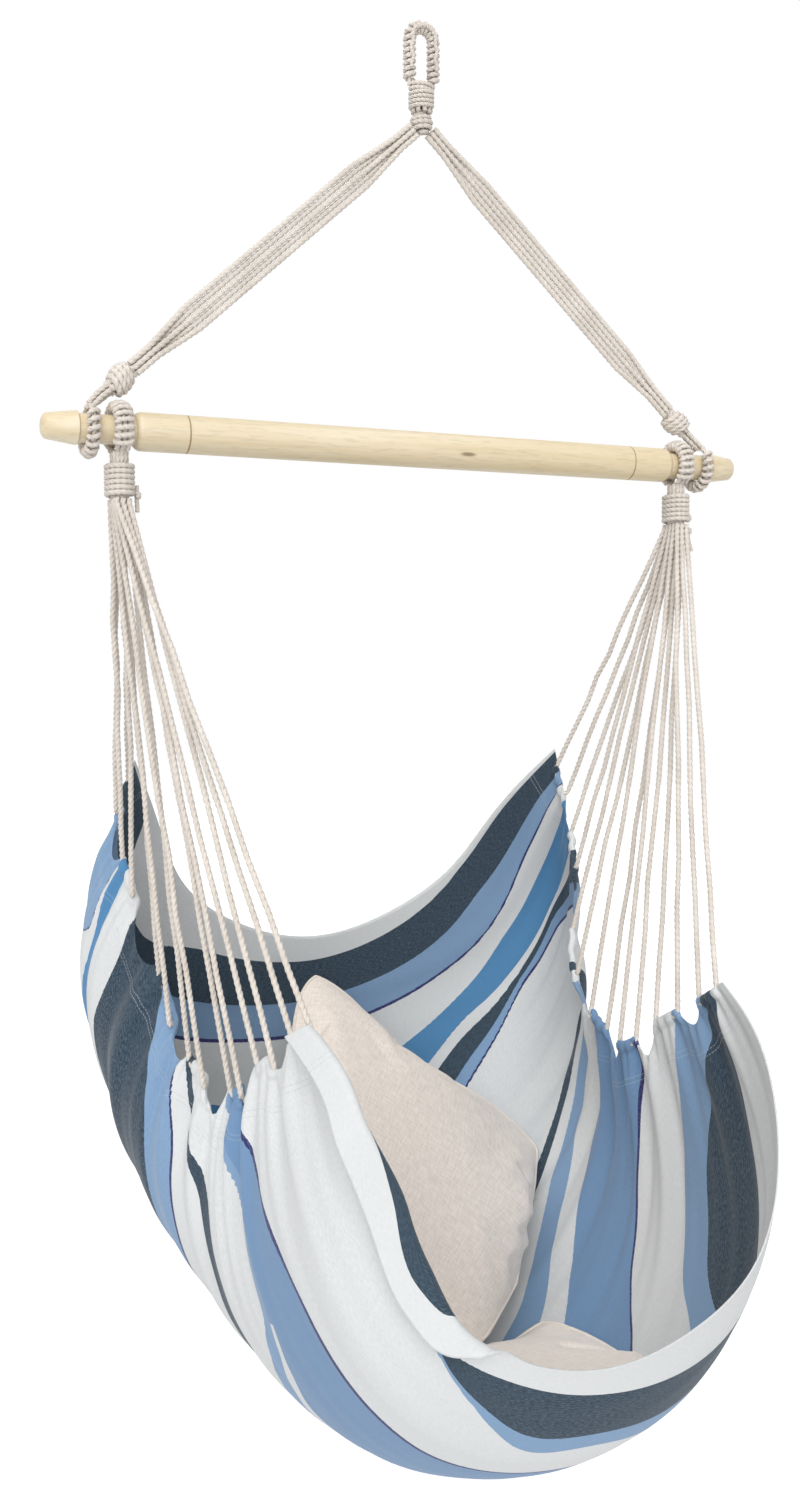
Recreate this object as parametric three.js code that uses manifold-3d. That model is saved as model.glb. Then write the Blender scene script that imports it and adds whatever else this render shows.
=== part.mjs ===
// A hanging hammock chair: a striped cotton seat on knotted cords, a wooden spreader bar, a cord bridle
// that ends in a hanging eye, and two loose cushions.
// Millimetres, +Z up. The origin is the inside top of the hanging eye, where a hook bears.
// +X runs along the bar and +Y to the back of the seat, so the chair faces -Y.
import * as THREE from 'three';
import { mergeVertices } from 'three/addons/utils/BufferGeometryUtils.js';
import Module from 'manifold-3d';

// Driving dimensions, in millimetres
const barLength = 850;
const barDiameter = 40;
const barDrop = 454; // from the hanging point down to the bar's axis
const cordDiameter = 6;
const clearance = 0.3; // between pieces that touch
const runningClearance = 0.5; // round the bar's necks, where the loops turn
const overrun = 5; // past a face that is cut or joined
const seatHalfWidth = 300;
const seatReach = 400; // from under the bar to the front or back of the seat
const seatDrop = 1100; // from the bar's axis to the lowest point of the cloth
const clothThickness = 2;
const backCushionSide = 380; // from seam to seam between its corners
const seatCushionSide = 365;
const seatCushionDepth = 88;
const backCushionDepth = 114;

// Turned bar, in millimetres from its middle or as radii
const knobLength = 37;
const neckLength = 57;
const shoulderRound = 9;
const neckDiameter = 30;
const knobDiameter = 35;
const tipDiameter = 20;
const tipRound = 9;
const shoulderShare = 0.7; // of a quarter turn that the shoulder rounds off
const tipShare = 0.35; // of a quarter turn where the tip's rounding starts
const scoreInset = 57; // from the shoulder
const scoreWidth = 1.6;
const scoreDepth = 0.8;

// Loops round the necks
const seatEyeInset = 14; // from the shoulder
const bridleEyeInset = 12; // from the knob

// Served cord: a core with a cord wound round it
const windSides = 6; // steps in one turn of a winding
const windHeight = 4.4; // of the winding cord, from the core outwards
const windGap = 0.9; // between neighbouring turns on a straight stretch
const gapFloor = 0.4; // that every winding keeps to itself
const eyeCoreDiameter = 5;
const eyeHalfWidth = 14.5;
const eyeDrop = 55;
const eyeTurns = 20;
const throatDiameter = 20;
const throatThickness = 4;
const neckBindingDrop = 20;
const neckBindingTurns = 4;
const ballDiameter = 27;
const ballSeatDrop = 37; // from the throat's underside to the middle of the throat ball
const seatEyeCoreWidth = 15;
const seatEyeCoreThickness = 5;
const seatEyeTurns = 16;
const bridleEyeTurns = 14;
const bareAngle = 48; // degrees to each side of a stem where a loop isn't wound
const stemWidth = 20;
const stemDepth = 26;
const stemDrop = 70; // from the bar's axis to the stem's end
const stemBindingTop = 33;
const stemBindingTurns = 6;

// Bridle
const bridleStemDiameter = 14;
const knotInset = 33; // from the bridle eye towards the middle
const knotRise = 52; // above the bar's axis
const knotDiameter = 32;
const knotLength = 34;
const knotBands = 3;
const bundleSpread = 6.5; // between neighbouring cords
const bundleCords = 5;
const bridleShares = [0, 0.06, 0.2, 0.4, 0.6, 0.8, 0.93, 1]; // of the way from the throat ball to a knot
const packedShare = 0.1; // of that way, from each end, where the cords lie in two layers
const packedSpreadShare = 0.5;
const packedLiftShare = 0.46;
const openLiftShare = 0.12;

// Tails left by the bindings
const tailDiameter = 7;
const tailLength = 34;
const shortTailLength = 18;

// Suspension cords and hem
const legsPerSide = 14;
const legColumnShares = [2, 2, 2, 1, 1, 1, 0, 0, -1, -1, -1, -2, -2, -2]; // of the spacing, back to front
const legRowShares = [-1, 0, 1, -1, 0, 1, -1, 1, -1, 0, 1, -1, 0, 1]; // of the spacing, inwards to outwards
const bendRadius = 6;
const bendSteps = 4;
const scallopDepth = 16;
const pleatHeight = 9;
const pleatFade = 120; // down from the hem to where a pleat is about a third as high

// Mesh steps
const clothAcross = 20;
const clothAlong = 2 * legsPerSide;
const cushionSteps = 10;
const barSides = 32;
const ringSides = 22;
const cordSides = 6;
const edgeSteps = 4; // points along an edge where a gap is measured
const coreSides = 8;
const knotSides = 16;
const roundSteps = 3;
const bandSteps = 3;
const arcSteps = 10;
const runSteps = 4;
const turnSteps = 32; // in a full turn of a core

// Cover and filling of a cushion
const fillingGap = 0.6; // between a cover and its filling
const rimHalf = 2; // from the seam to the outside of the cover at a side
const pullShare = 0.06; // of the side that its middle draws in
const cornerShare = 0.07; // of the diagonal that its corners draw in
const crownShare = 0.42; // how fast the crown rises from a side
const seatCushionSideRise = 70;
const seatCushionEndRise = 42;
const seatCushionFrontRise = 50;
const seatCushionCornerRise = 20; // of the front corners
const backCushionRightBend = 25; // forward, of its right corner
const backCushionFootBend = 60; // forward, of its bottom corner
const settleHeight = 60; // above a cushion's place, from where it is let down

// Places of the seat cloth from its left hem to its middle, in rows from the back rim to the front rim.
// Each is a share of half the width, of the reach to the back, and of the drop below the bar.
const seatShares = [
  [
    [0.945, 0.45, 0.32], [0.785, 0.625, 0.395], [0.635, 0.74, 0.47],
    [0.365, 0.805, 0.525], [0, 0.825, 0.55],
  ],
  [
    [1.005, 0.45, 0.39], [1.085, 0.625, 0.49], [0.95, 0.75, 0.6],
    [0.575, 0.84, 0.665], [0, 0.875, 0.685],
  ],
  [
    [0.965, 0.35, 0.465], [1.085, 0.51, 0.58], [0.955, 0.645, 0.71],
    [0.565, 0.745, 0.79], [0, 0.78, 0.825],
  ],
  [
    [0.875, 0.245, 0.57], [1.015, 0.32, 0.675], [0.905, 0.42, 0.795],
    [0.545, 0.505, 0.88], [0, 0.545, 0.915],
  ],
  [
    [0.86, 0.07, 0.615], [0.925, 0.105, 0.73], [0.8, 0.15, 0.855],
    [0.475, 0.18, 0.945], [0, 0.195, 0.975],
  ],
  [
    [0.81, -0.12, 0.625], [0.865, -0.13, 0.75], [0.765, -0.145, 0.87],
    [0.46, -0.175, 0.965], [0, -0.19, 1],
  ],
  [
    [0.81, -0.285, 0.59], [0.865, -0.34, 0.72], [0.76, -0.44, 0.845],
    [0.465, -0.525, 0.94], [0, -0.56, 0.975],
  ],
  [
    [0.8, -0.475, 0.555], [0.845, -0.625, 0.665], [0.755, -0.775, 0.775],
    [0.475, -0.86, 0.865], [0, -0.9, 0.9],
  ],
  [
    [0.785, -0.625, 0.525], [0.745, -0.84, 0.575], [0.7, -0.945, 0.675],
    [0.475, -1.01, 0.765], [0, -1.03, 0.81],
  ],
];

// Where the cushions lie: middles in the same shares, the directions of two sides, and the way each gives
const seatCushionShares = [0, -0.42, 0.94];
const backCushionShares = [-0.005, 0.25, 0.755];
const seatCushionSides = [[1, -0.03, 0], [0.03, 1, 0]];
const seatCushionRise = [0, 0, 1];
const backCushionRise = [0, -0.5, 0.87];
const backCushionSides = [[-0.602, -0.642, -0.473], [0.723, -0.19, -0.663]];

// Colours
const cotton = { color: 0xd8d0c8, roughness: 0.9, metalness: 0 };
const pale = { color: 0xdadedf, roughness: 0.9, metalness: 0 };
const linen = { color: 0xd8cec5, roughness: 0.92, metalness: 0 };
const warmLinen = { color: 0xe3d8cb, roughness: 0.92, metalness: 0 };
const filling = { color: 0xf2f0ea, roughness: 0.95, metalness: 0 };
const beech = { color: 0xdfd0b0, roughness: 0.55, metalness: 0 };

const up = new THREE.Vector3(0, 0, 1);
const along = new THREE.Vector3(1, 0, 0);
const knobAt = barLength / 2 - knobLength;
const shoulderAt = knobAt - neckLength;
const scoreAt = shoulderAt - scoreInset;
const seatEyeAt = shoulderAt + seatEyeInset;
const bridleEyeAt = knobAt - bridleEyeInset;
const barRadius = barDiameter / 2;
const neckRadius = neckDiameter / 2;
const cordRadius = cordDiameter / 2;
const windHalf = windHeight / 2;

const wasm = await Module();
wasm.setup();

const chair = new THREE.Group();

// Meshes and booleans

function addPiece(name, geometry, finish) {
  const mesh = new THREE.Mesh(geometry, new THREE.MeshStandardMaterial(finish));
  mesh.name = name;
  chair.add(mesh);
  return mesh;
}

function toSolid(geometry) {
  const bare = geometry.index ? geometry.toNonIndexed() : geometry.clone();
  bare.deleteAttribute('normal');
  bare.deleteAttribute('uv');
  const merged = mergeVertices(bare);
  const vertProperties = new Float32Array(merged.attributes.position.array);
  const triVerts = new Uint32Array(merged.index.array);
  return new wasm.Manifold(new wasm.Mesh({ numProp: 3, vertProperties, triVerts }));
}

function toGeometry(solid) {
  const mesh = solid.getMesh();
  const geometry = new THREE.BufferGeometry();
  const places = new Float32Array(mesh.vertProperties);
  geometry.setAttribute('position', new THREE.BufferAttribute(places, mesh.numProp));
  geometry.setIndex(new THREE.BufferAttribute(new Uint32Array(mesh.triVerts), 1));
  geometry.computeVertexNormals();
  return geometry;
}

// A closed body from rings of points, with flat ends
function skinRings(rings) {
  const sides = rings[0].length;
  const positions = [];
  const index = [];
  for (const ring of rings) for (const point of ring) positions.push(point.x, point.y, point.z);
  for (let i = 0; i + 1 < rings.length; i += 1) {
    for (let k = 0; k < sides; k += 1) {
      const a = i * sides + k;
      const b = i * sides + ((k + 1) % sides);
      index.push(a, b, b + sides, a, b + sides, a + sides);
    }
  }
  const last = (rings.length - 1) * sides;
  for (let k = 1; k + 1 < sides; k += 1) {
    index.push(0, k + 1, k, last, last + k, last + k + 1);
  }
  const geometry = new THREE.BufferGeometry();
  geometry.setAttribute('position', new THREE.Float32BufferAttribute(positions, 3));
  geometry.setIndex(index);
  geometry.computeVertexNormals();
  return geometry;
}

// A closed body between an upper and a lower grid of points that share their outline
function skinGrids(upper, lower) {
  const rows = upper.length;
  const columns = upper[0].length;
  const positions = [];
  const index = [];
  for (const grid of [upper, lower]) {
    for (const row of grid) for (const point of row) positions.push(point.x, point.y, point.z);
  }
  const at = (j, i) => j * columns + i;
  const under = rows * columns;
  for (let j = 0; j + 1 < rows; j += 1) {
    for (let i = 0; i + 1 < columns; i += 1) {
      const [a, b, c, d] = [at(j, i), at(j, i + 1), at(j + 1, i + 1), at(j + 1, i)];
      index.push(a, b, c, a, c, d, under + a, under + c, under + b, under + a, under + d, under + c);
    }
  }
  const wall = (a, b) => index.push(a, under + a, under + b, a, under + b, b);
  for (let i = 0; i + 1 < columns; i += 1) {
    wall(at(0, i), at(0, i + 1));
    wall(at(rows - 1, i + 1), at(rows - 1, i));
  }
  for (let j = 0; j + 1 < rows; j += 1) {
    wall(at(j, columns - 1), at(j + 1, columns - 1));
    wall(at(j + 1, 0), at(j, 0));
  }
  const geometry = new THREE.BufferGeometry();
  geometry.setAttribute('position', new THREE.Float32BufferAttribute(positions, 3));
  geometry.setIndex(index);
  geometry.computeVertexNormals();
  return geometry;
}

// A route whose steps are its own stations, so that bends get short steps and straight runs long ones
class StationCurve extends THREE.Curve {
  constructor(stations) {
    super();
    this.stations = stations;
  }

  getUtoTmapping(u) {
    return u;
  }

  getPoint(t, target = new THREE.Vector3()) {
    const spans = this.stations.length - 1;
    const place = Math.min(Math.max(t, 0), 1) * spans;
    const from = Math.min(Math.floor(place), spans - 1);
    return target.copy(this.stations[from]).lerp(this.stations[from + 1], place - from);
  }

  getTangent(t, target = new THREE.Vector3()) {
    const spans = this.stations.length - 1;
    const near = Math.round(t * spans);
    const before = this.stations[Math.max(near - 1, 0)];
    const here = this.stations[near];
    const after = this.stations[Math.min(near + 1, spans)];
    const arriving = here.clone().sub(before).normalize();
    const leaving = after.clone().sub(here).normalize();
    return target.copy(arriving).add(leaving).normalize();
  }
}

function cordAlong(stations, diameter, sides = cordSides) {
  const outline = new THREE.Shape();
  for (let k = 0; k < sides; k += 1) {
    const angle = (2 * Math.PI * k) / sides;
    const [x, y] = [Math.cos(angle) * diameter / 2, Math.sin(angle) * diameter / 2];
    if (k === 0) outline.moveTo(x, y);
    else outline.lineTo(x, y);
  }
  const extrudePath = new StationCurve(stations);
  return new THREE.ExtrudeGeometry(outline, { steps: stations.length - 1, bevelEnabled: false, extrudePath });
}

// Turned bodies

function latheAlongX(profile, sides) {
  const points = profile.map(([place, radius]) => new THREE.Vector2(radius, place));
  const geometry = new THREE.LatheGeometry(points, sides);
  geometry.rotateZ(-Math.PI / 2);
  return geometry;
}

function arcPoints(place, radius, round, from, to) {
  const points = [];
  for (let i = 0; i <= roundSteps; i += 1) {
    const angle = from + ((to - from) * i) / roundSteps;
    points.push([place + round * Math.sin(angle), radius + round * Math.cos(angle)]);
  }
  return points;
}

function makeBar() {
  const half = barLength / 2;
  const quarter = Math.PI / 2;
  const shoulderEnd = quarter * shoulderShare;
  const tipStart = quarter * tipShare;
  const right = [
    [scoreAt - scoreWidth / 2, barRadius],
    [scoreAt, barRadius - scoreDepth],
    [scoreAt + scoreWidth / 2, barRadius],
    ...arcPoints(shoulderAt - shoulderRound, barRadius - shoulderRound, shoulderRound, 0, shoulderEnd),
    [shoulderAt, neckRadius],
    [knobAt, neckRadius],
    [knobAt + clearance, knobDiameter / 2],
    ...arcPoints(half - tipRound, (tipDiameter - tipRound) / 2, tipRound, tipStart, quarter),
  ];
  const left = right.map(([place, radius]) => [-place, radius]).reverse();
  const profile = [[-half, 0], ...left, ...right, [half, 0]];
  const bar = latheAlongX(profile, barSides);
  bar.translate(0, 0, -barDrop);
  addPiece('spreader_bar', bar, beech);
}

// Windings: one unbroken cord round a core path. A frame gives the path's point, its direction, the side
// that the loop bends to, the radius of that bend (Infinity on a straight) and the distance run so far.

function straightFrames(from, to, inward) {
  const frames = [];
  const step = to.clone().sub(from);
  for (let i = 0; i <= runSteps; i += 1) {
    frames.push({ point: from.clone().addScaledVector(step, i / runSteps), inward, bend: Infinity });
  }
  return frames;
}

function arcFrames(centre, radius, axis, start, sweep) {
  const frames = [];
  const count = Math.ceil(sweep / (2 * Math.PI) * turnSteps);
  for (let i = 0; i <= count; i += 1) {
    const outward = start.clone().applyAxisAngle(axis, (sweep * i) / count);
    frames.push({
      point: centre.clone().addScaledVector(outward, radius),
      inward: outward.clone().negate(),
      bend: radius,
    });
  }
  return frames;
}

function addWinding(name, frames, turns, core) {
  // the frames become evenly spaced stations, windSides of them to each turn
  const run = [0];
  for (let i = 1; i < frames.length; i += 1) {
    run.push(run[i - 1] + frames[i].point.distanceTo(frames[i - 1].point));
  }
  const total = run[run.length - 1];
  const pitch = total / turns;
  const stations = turns * windSides;
  const centreAcross = (core.across / 2 + clearance + windHalf) / windFit;
  const centreDeep = (core.deep / 2 + clearance + windHalf) / windFit;
  const rings = [];
  let span = 0;
  for (let s = 0; s <= stations; s += 1) {
    const distance = (total * s) / stations;
    while (span + 2 < run.length && run[span + 1] < distance) span += 1;
    const share = (distance - run[span]) / (run[span + 1] - run[span]);
    const [a, b] = [frames[span], frames[span + 1]];
    const point = a.point.clone().lerp(b.point, share);
    const tangent = b.point.clone().sub(a.point).normalize();
    const inward = a.inward.clone().lerp(b.inward, share);
    inward.addScaledVector(tangent, -inward.dot(tangent)).normalize();
    const across = new THREE.Vector3().crossVectors(tangent, inward);
    const bend = Math.min(a.bend, b.bend);
    const angle = (2 * Math.PI * s) / windSides;
    const offset = new THREE.Vector3()
      .addScaledVector(inward, Math.cos(angle) * centreDeep)
      .addScaledVector(across, Math.sin(angle) * centreAcross);
    const outward = new THREE.Vector3()
      .addScaledVector(inward, Math.cos(angle) / centreDeep)
      .addScaledVector(across, Math.sin(angle) / centreAcross)
      .normalize();
    const depthIn = Math.cos(angle) * (centreDeep + windHalf);
    const squeeze = bend === Infinity ? 1 : 1 - Math.max(depthIn, 0) / bend;
    const half = Math.max(pitch * squeeze - windGap, windGap) / 2;
    const centre = point.clone().add(offset);
    rings.push([
      centre.clone().addScaledVector(outward, -windHalf),
      centre.clone().addScaledVector(tangent, half),
      centre.clone().addScaledVector(outward, windHalf),
      centre.clone().addScaledVector(tangent, -half),
    ]);
  }
  reportGap(rings, pitch, name);
  addPiece(name, skinRings(rings), cotton);
}

// The least distance between the outlines of neighbouring turns, measured on points along their edges
function reportGap(rings, pitch, name) {
  let least = Infinity;
  const sample = (ringA, ringB) => {
    const points = [];
    for (let k = 0; k < ringA.length; k += 1) {
      for (let i = 0; i < edgeSteps; i += 1) points.push(ringA[k].clone().lerp(ringB[k], i / edgeSteps));
    }
    return points;
  };
  for (let i = 0; i + windSides + 1 < rings.length; i += 1) {
    const here = sample(rings[i], rings[i + 1]);
    const next = sample(rings[i + windSides], rings[i + windSides + 1]);
    for (const a of here) for (const b of next) least = Math.min(least, a.distanceTo(b));
  }
  const verdict = least > gapFloor ? 'clear of itself' : 'too tight';
  const measured = `least gap to itself ${least.toFixed(2)} mm, ${verdict}`;
  console.log(`${name}: ${measured}, pitch ${pitch.toFixed(1)} mm`);
}

// Hanging eye and the throat under it

const windFit = Math.cos(Math.PI / windSides);
const eyeWindReach = (eyeCoreDiameter / 2 + clearance + windHalf) / windFit + windHalf;
const eyeArcDrop = eyeHalfWidth - eyeWindReach;
const throatTop = eyeDrop;
const throatBottom = throatTop + throatThickness;
const swingCentre = new THREE.Vector3(0, 0, -(throatBottom + ballSeatDrop));

function makeHangingEye() {
  const legFoot = -throatTop - throatThickness / 2;
  const stations = [new THREE.Vector3(-eyeHalfWidth, 0, legFoot)];
  for (let i = 0; i <= arcSteps; i += 1) {
    const angle = Math.PI - (Math.PI * i) / arcSteps;
    const [x, z] = [Math.cos(angle) * eyeHalfWidth, Math.sin(angle) * eyeHalfWidth - eyeArcDrop];
    stations.push(new THREE.Vector3(x, 0, z));
  }
  stations.push(new THREE.Vector3(eyeHalfWidth, 0, legFoot));
  const loop = toSolid(cordAlong(stations, eyeCoreDiameter, coreSides));
  const discRadius = eyeHalfWidth + cordRadius;
  const disc = new THREE.CylinderGeometry(discRadius, throatDiameter / 2, throatThickness, ringSides);
  disc.rotateX(Math.PI / 2);
  disc.translate(0, 0, -throatTop - throatThickness / 2);
  addPiece('hanging_eye', toGeometry(loop.add(toSolid(disc))), cotton);

  const arcCentre = new THREE.Vector3(0, 0, -eyeArcDrop);
  const legEnd = throatTop - windHeight;
  const left = along.clone().negate();
  const [leftFoot, leftHead, rightHead, rightFoot] = [
    [-eyeHalfWidth, legEnd],
    [-eyeHalfWidth, eyeArcDrop],
    [eyeHalfWidth, eyeArcDrop],
    [eyeHalfWidth, legEnd],
  ].map(([x, drop]) => new THREE.Vector3(x, 0, -drop));
  const frames = [
    ...straightFrames(leftFoot, leftHead, along),
    ...arcFrames(arcCentre, eyeHalfWidth, new THREE.Vector3(0, 1, 0), left, Math.PI).slice(1),
    ...straightFrames(rightHead, rightFoot, left).slice(1),
  ];
  const core = { across: eyeCoreDiameter, deep: eyeCoreDiameter };
  addWinding('eye_serving', frames, eyeTurns, core);
}

// The neck turns under the eye, and the ball under it lets the chair swing
function makeThroat() {
  const neckCoreDiameter = throatDiameter;
  const top = throatBottom + clearance;
  const bottom = -swingCentre.z;
  const neckCoreRadius = neckCoreDiameter / 2;
  const core = new THREE.CylinderGeometry(neckCoreRadius, neckCoreRadius, bottom - top, ringSides);
  core.rotateX(Math.PI / 2);
  core.translate(0, 0, -(top + bottom) / 2);
  const hollow = new THREE.SphereGeometry(ballDiameter / 2 + clearance, ringSides, ringSides / 2);
  hollow.translate(swingCentre.x, swingCentre.y, swingCentre.z);
  addPiece('neck_core', toGeometry(toSolid(core).subtract(toSolid(hollow))), cotton);

  const firstTurn = top + windHalf;
  const frames = straightFrames(
    new THREE.Vector3(0, 0, -firstTurn),
    new THREE.Vector3(0, 0, -firstTurn - neckBindingDrop),
    along,
  );
  const size = { across: neckCoreDiameter, deep: neckCoreDiameter };
  addWinding('neck_binding', frames, neckBindingTurns, size);

  const ball = new THREE.SphereGeometry(ballDiameter / 2, ringSides, ringSides / 2);
  ball.rotateX(Math.PI / 2);
  ball.translate(swingCentre.x, swingCentre.y, swingCentre.z);
  addPiece('throat_ball', ball, cotton);
}

// Loops round the bar's necks

const seatWindReach = (seatEyeCoreThickness / 2 + clearance + windHalf) / windFit + windHalf;
const seatRingRadius = neckRadius + runningClearance + seatWindReach;
const bridleRingRadius = neckRadius + runningClearance + eyeWindReach;

function ringAround(radius, width, thickness) {
  const sectionSides = coreSides;
  const profile = [];
  for (let k = 0; k <= sectionSides; k += 1) {
    const angle = (2 * Math.PI * k) / sectionSides;
    profile.push([(Math.cos(angle) * width) / 2, radius + (Math.sin(angle) * thickness) / 2]);
  }
  return latheAlongX(profile.reverse(), ringSides);
}

function ringFrames(centre, radius, stemDirection) {
  const bare = THREE.MathUtils.degToRad(bareAngle);
  const start = stemDirection.clone().applyAxisAngle(along, bare);
  return arcFrames(centre, radius, along, start, 2 * Math.PI - 2 * bare);
}

function makeSeatEye(side, name) {
  const centre = new THREE.Vector3(side * seatEyeAt, 0, -barDrop);
  const ring = ringAround(seatRingRadius, seatEyeCoreWidth, seatEyeCoreThickness);
  const stemTop = seatRingRadius - seatEyeCoreThickness / 4;
  const stem = new THREE.CylinderGeometry(1, 1, stemDrop - stemTop, ringSides);
  stem.rotateX(Math.PI / 2);
  stem.scale(stemWidth / 2, stemDepth / 2, 1);
  stem.translate(0, 0, -(stemDrop + stemTop) / 2);
  const eye = toGeometry(toSolid(ring).add(toSolid(stem)));
  eye.translate(centre.x, centre.y, centre.z);
  addPiece(`${name}_seat_eye`, eye, cotton);

  const frames = ringFrames(centre, seatRingRadius, up.clone().negate());
  const core = { across: seatEyeCoreWidth, deep: seatEyeCoreThickness };
  addWinding(`${name}_seat_eye_serving`, frames, seatEyeTurns, core);

  const top = centre.z - stemBindingTop;
  const bottom = centre.z - stemDrop + windHalf;
  const drops = straightFrames(
    new THREE.Vector3(centre.x, 0, top),
    new THREE.Vector3(centre.x, 0, bottom),
    new THREE.Vector3(0, 1, 0),
  );
  const stemSize = { across: stemWidth, deep: stemDepth };
  addWinding(`${name}_seat_binding`, drops, stemBindingTurns, stemSize);
}

function knotPlace(side) {
  return new THREE.Vector3(side * (bridleEyeAt - knotInset), 0, knotRise - barDrop);
}

function bridleDirection(side) {
  return swingCentre.clone().sub(knotPlace(side)).normalize();
}

function makeBridleEye(side, name) {
  const centre = new THREE.Vector3(side * bridleEyeAt, 0, -barDrop);
  const ring = ringAround(bridleRingRadius, eyeCoreDiameter, eyeCoreDiameter);
  const foot = new THREE.Vector3(0, 0, bridleRingRadius + eyeCoreDiameter / 4);
  const pull = bridleDirection(side);
  const head = knotPlace(side).sub(centre).addScaledVector(pull, -knotLength / 2 - clearance);
  const stations = [foot, head.clone().addScaledVector(pull, -overrun), head];
  const stem = toSolid(cordAlong(stations, bridleStemDiameter, coreSides));
  const hollow = new THREE.CylinderGeometry(bridleRingRadius, bridleRingRadius, barDiameter, barSides);
  hollow.rotateZ(Math.PI / 2);
  const eye = toGeometry(toSolid(ring).add(stem.subtract(toSolid(hollow))));
  eye.translate(centre.x, centre.y, centre.z);
  addPiece(`${name}_bridle_eye`, eye, cotton);

  const frames = ringFrames(centre, bridleRingRadius, up);
  const core = { across: eyeCoreDiameter, deep: eyeCoreDiameter };
  addWinding(`${name}_bridle_eye_serving`, frames, bridleEyeTurns, core);
}

// A knot of rounded bands, along the pull of the bridle
function makeKnot(side, name) {
  const half = knotLength / 2;
  const band = knotLength / knotBands;
  const endRadius = bridleStemDiameter / 2 + windHalf;
  const profile = [new THREE.Vector2(0, -half), new THREE.Vector2(endRadius, -half)];
  for (let i = 0; i < knotBands; i += 1) {
    for (let k = i === 0 ? 1 : 0; k <= bandSteps - (i + 1 === knotBands ? 1 : 0); k += 1) {
      const share = k / bandSteps;
      const place = -half + band * (i + share);
      const swell = Math.cos((Math.PI / 2) * (place / half));
      const dent = (1 - Math.sin(Math.PI * share)) * windHalf;
      const radius = endRadius + (knotDiameter / 2 - endRadius - dent) * swell;
      profile.push(new THREE.Vector2(radius, place));
    }
  }
  profile.push(new THREE.Vector2(endRadius, half), new THREE.Vector2(0, half));
  const knot = new THREE.LatheGeometry(mergeClose(profile), knotSides);
  const turn = new THREE.Quaternion().setFromUnitVectors(new THREE.Vector3(0, 1, 0), bridleDirection(side));
  knot.applyQuaternion(turn);
  const place = knotPlace(side);
  knot.translate(place.x, place.y, place.z);
  addPiece(`${name}_bridle_knot`, knot, cotton);
}

function mergeClose(points) {
  return points.filter((point, i) => i === 0 || point.distanceTo(points[i - 1]) > gapFloor);
}

// The bridle: flat bundles of cords from the throat ball to the knots, packed in two layers at each end
function makeBridle(side, name) {
  const direction = bridleDirection(side);
  const across = new THREE.Vector3().crossVectors(direction, new THREE.Vector3(0, 1, 0)).normalize();
  const depth = new THREE.Vector3(0, 1, 0);
  const middle = (bundleCords - 1) / 2;
  const top = swingCentre.clone().addScaledVector(direction, -(ballDiameter / 2 + clearance));
  const knotEnd = knotPlace(side).addScaledVector(direction, knotLength / 2 + clearance);
  for (let k = 0; k < bundleCords; k += 1) {
    const place = k - middle;
    const layer = k % 2 === 0 ? -1 : 1;
    const stations = bridleShares.map((share) => {
      const packed = Math.min(share, 1 - share) < packedShare;
      const spread = place * bundleSpread * (packed ? packedSpreadShare : 1);
      const lift = layer * bundleSpread * (packed ? packedLiftShare : openLiftShare);
      return top.clone().lerp(knotEnd, share).addScaledVector(across, spread).addScaledVector(depth, lift);
    });
    addPiece(`${name}_bridle_cord_${k + 1}`, cordAlong(stations, cordDiameter), cotton);
  }
}

// Tails of the bindings, lying against the outside of each binding
function makeTails() {
  const reachX = stemWidth / 2 + clearance + windHalf + windHalf * windFit;
  const offset = reachX + clearance + tailDiameter / 2;
  const bottom = -barDrop - stemDrop;
  const addTail = (name, x, from, length, lean) => {
    const start = new THREE.Vector3(x, 0, from);
    const turn = new THREE.Vector3(x, 0, from - length / 2);
    const end = new THREE.Vector3(x + lean, 0, from - length);
    addPiece(name, cordAlong([start, turn, end], tailDiameter, coreSides), cotton);
  };
  const upper = bottom + shortTailLength;
  addTail('left_seat_tail', -seatEyeAt + offset, upper, tailLength, clearance);
  addTail('right_seat_tail', seatEyeAt + offset, upper, shortTailLength, clearance);
  const lower = upper - shortTailLength - clearance;
  addTail('right_seat_long_tail', seatEyeAt + offset, lower, tailLength, cordDiameter);
}

// Seat cloth: natural splines through the rows and columns of its places

function splineThrough(values, count) {
  const n = values.length;
  const second = new Array(n).fill(0);
  const work = new Array(n).fill(0);
  for (let i = 1; i < n - 1; i += 1) {
    const p = 4 + second[i - 1];
    second[i] = -1 / p;
    work[i] = (6 * (values[i + 1] - 2 * values[i] + values[i - 1]) - work[i - 1]) / p;
  }
  for (let i = n - 2; i > 0; i -= 1) work[i] += second[i] * work[i + 1];
  work[0] = 0;
  const result = [];
  for (let k = 0; k <= count; k += 1) {
    const place = (k / count) * (n - 1);
    const i = Math.min(Math.floor(place), n - 2);
    const b = place - i;
    const a = 1 - b;
    const curve = ((a ** 3 - a) * work[i] + (b ** 3 - b) * work[i + 1]) / 6;
    result.push(a * values[i] + b * values[i + 1] + curve);
  }
  return result;
}

function splineGrid(rows, alongCount, acrossCount) {
  const axes = ['x', 'y', 'z'];
  const columns = rows[0].length;
  const stretched = Array.from({ length: alongCount + 1 }, () => []);
  for (let c = 0; c < columns; c += 1) {
    const byAxis = axes.map((axis) => splineThrough(rows.map((row) => row[c][axis]), alongCount));
    for (let j = 0; j <= alongCount; j += 1) {
      stretched[j].push(new THREE.Vector3(byAxis[0][j], byAxis[1][j], byAxis[2][j]));
    }
  }
  return stretched.map((row) => {
    const byAxis = axes.map((axis) => splineThrough(row.map((point) => point[axis]), acrossCount));
    return byAxis[0].map((x, i) => new THREE.Vector3(x, byAxis[1][i], byAxis[2][i]));
  });
}

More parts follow.
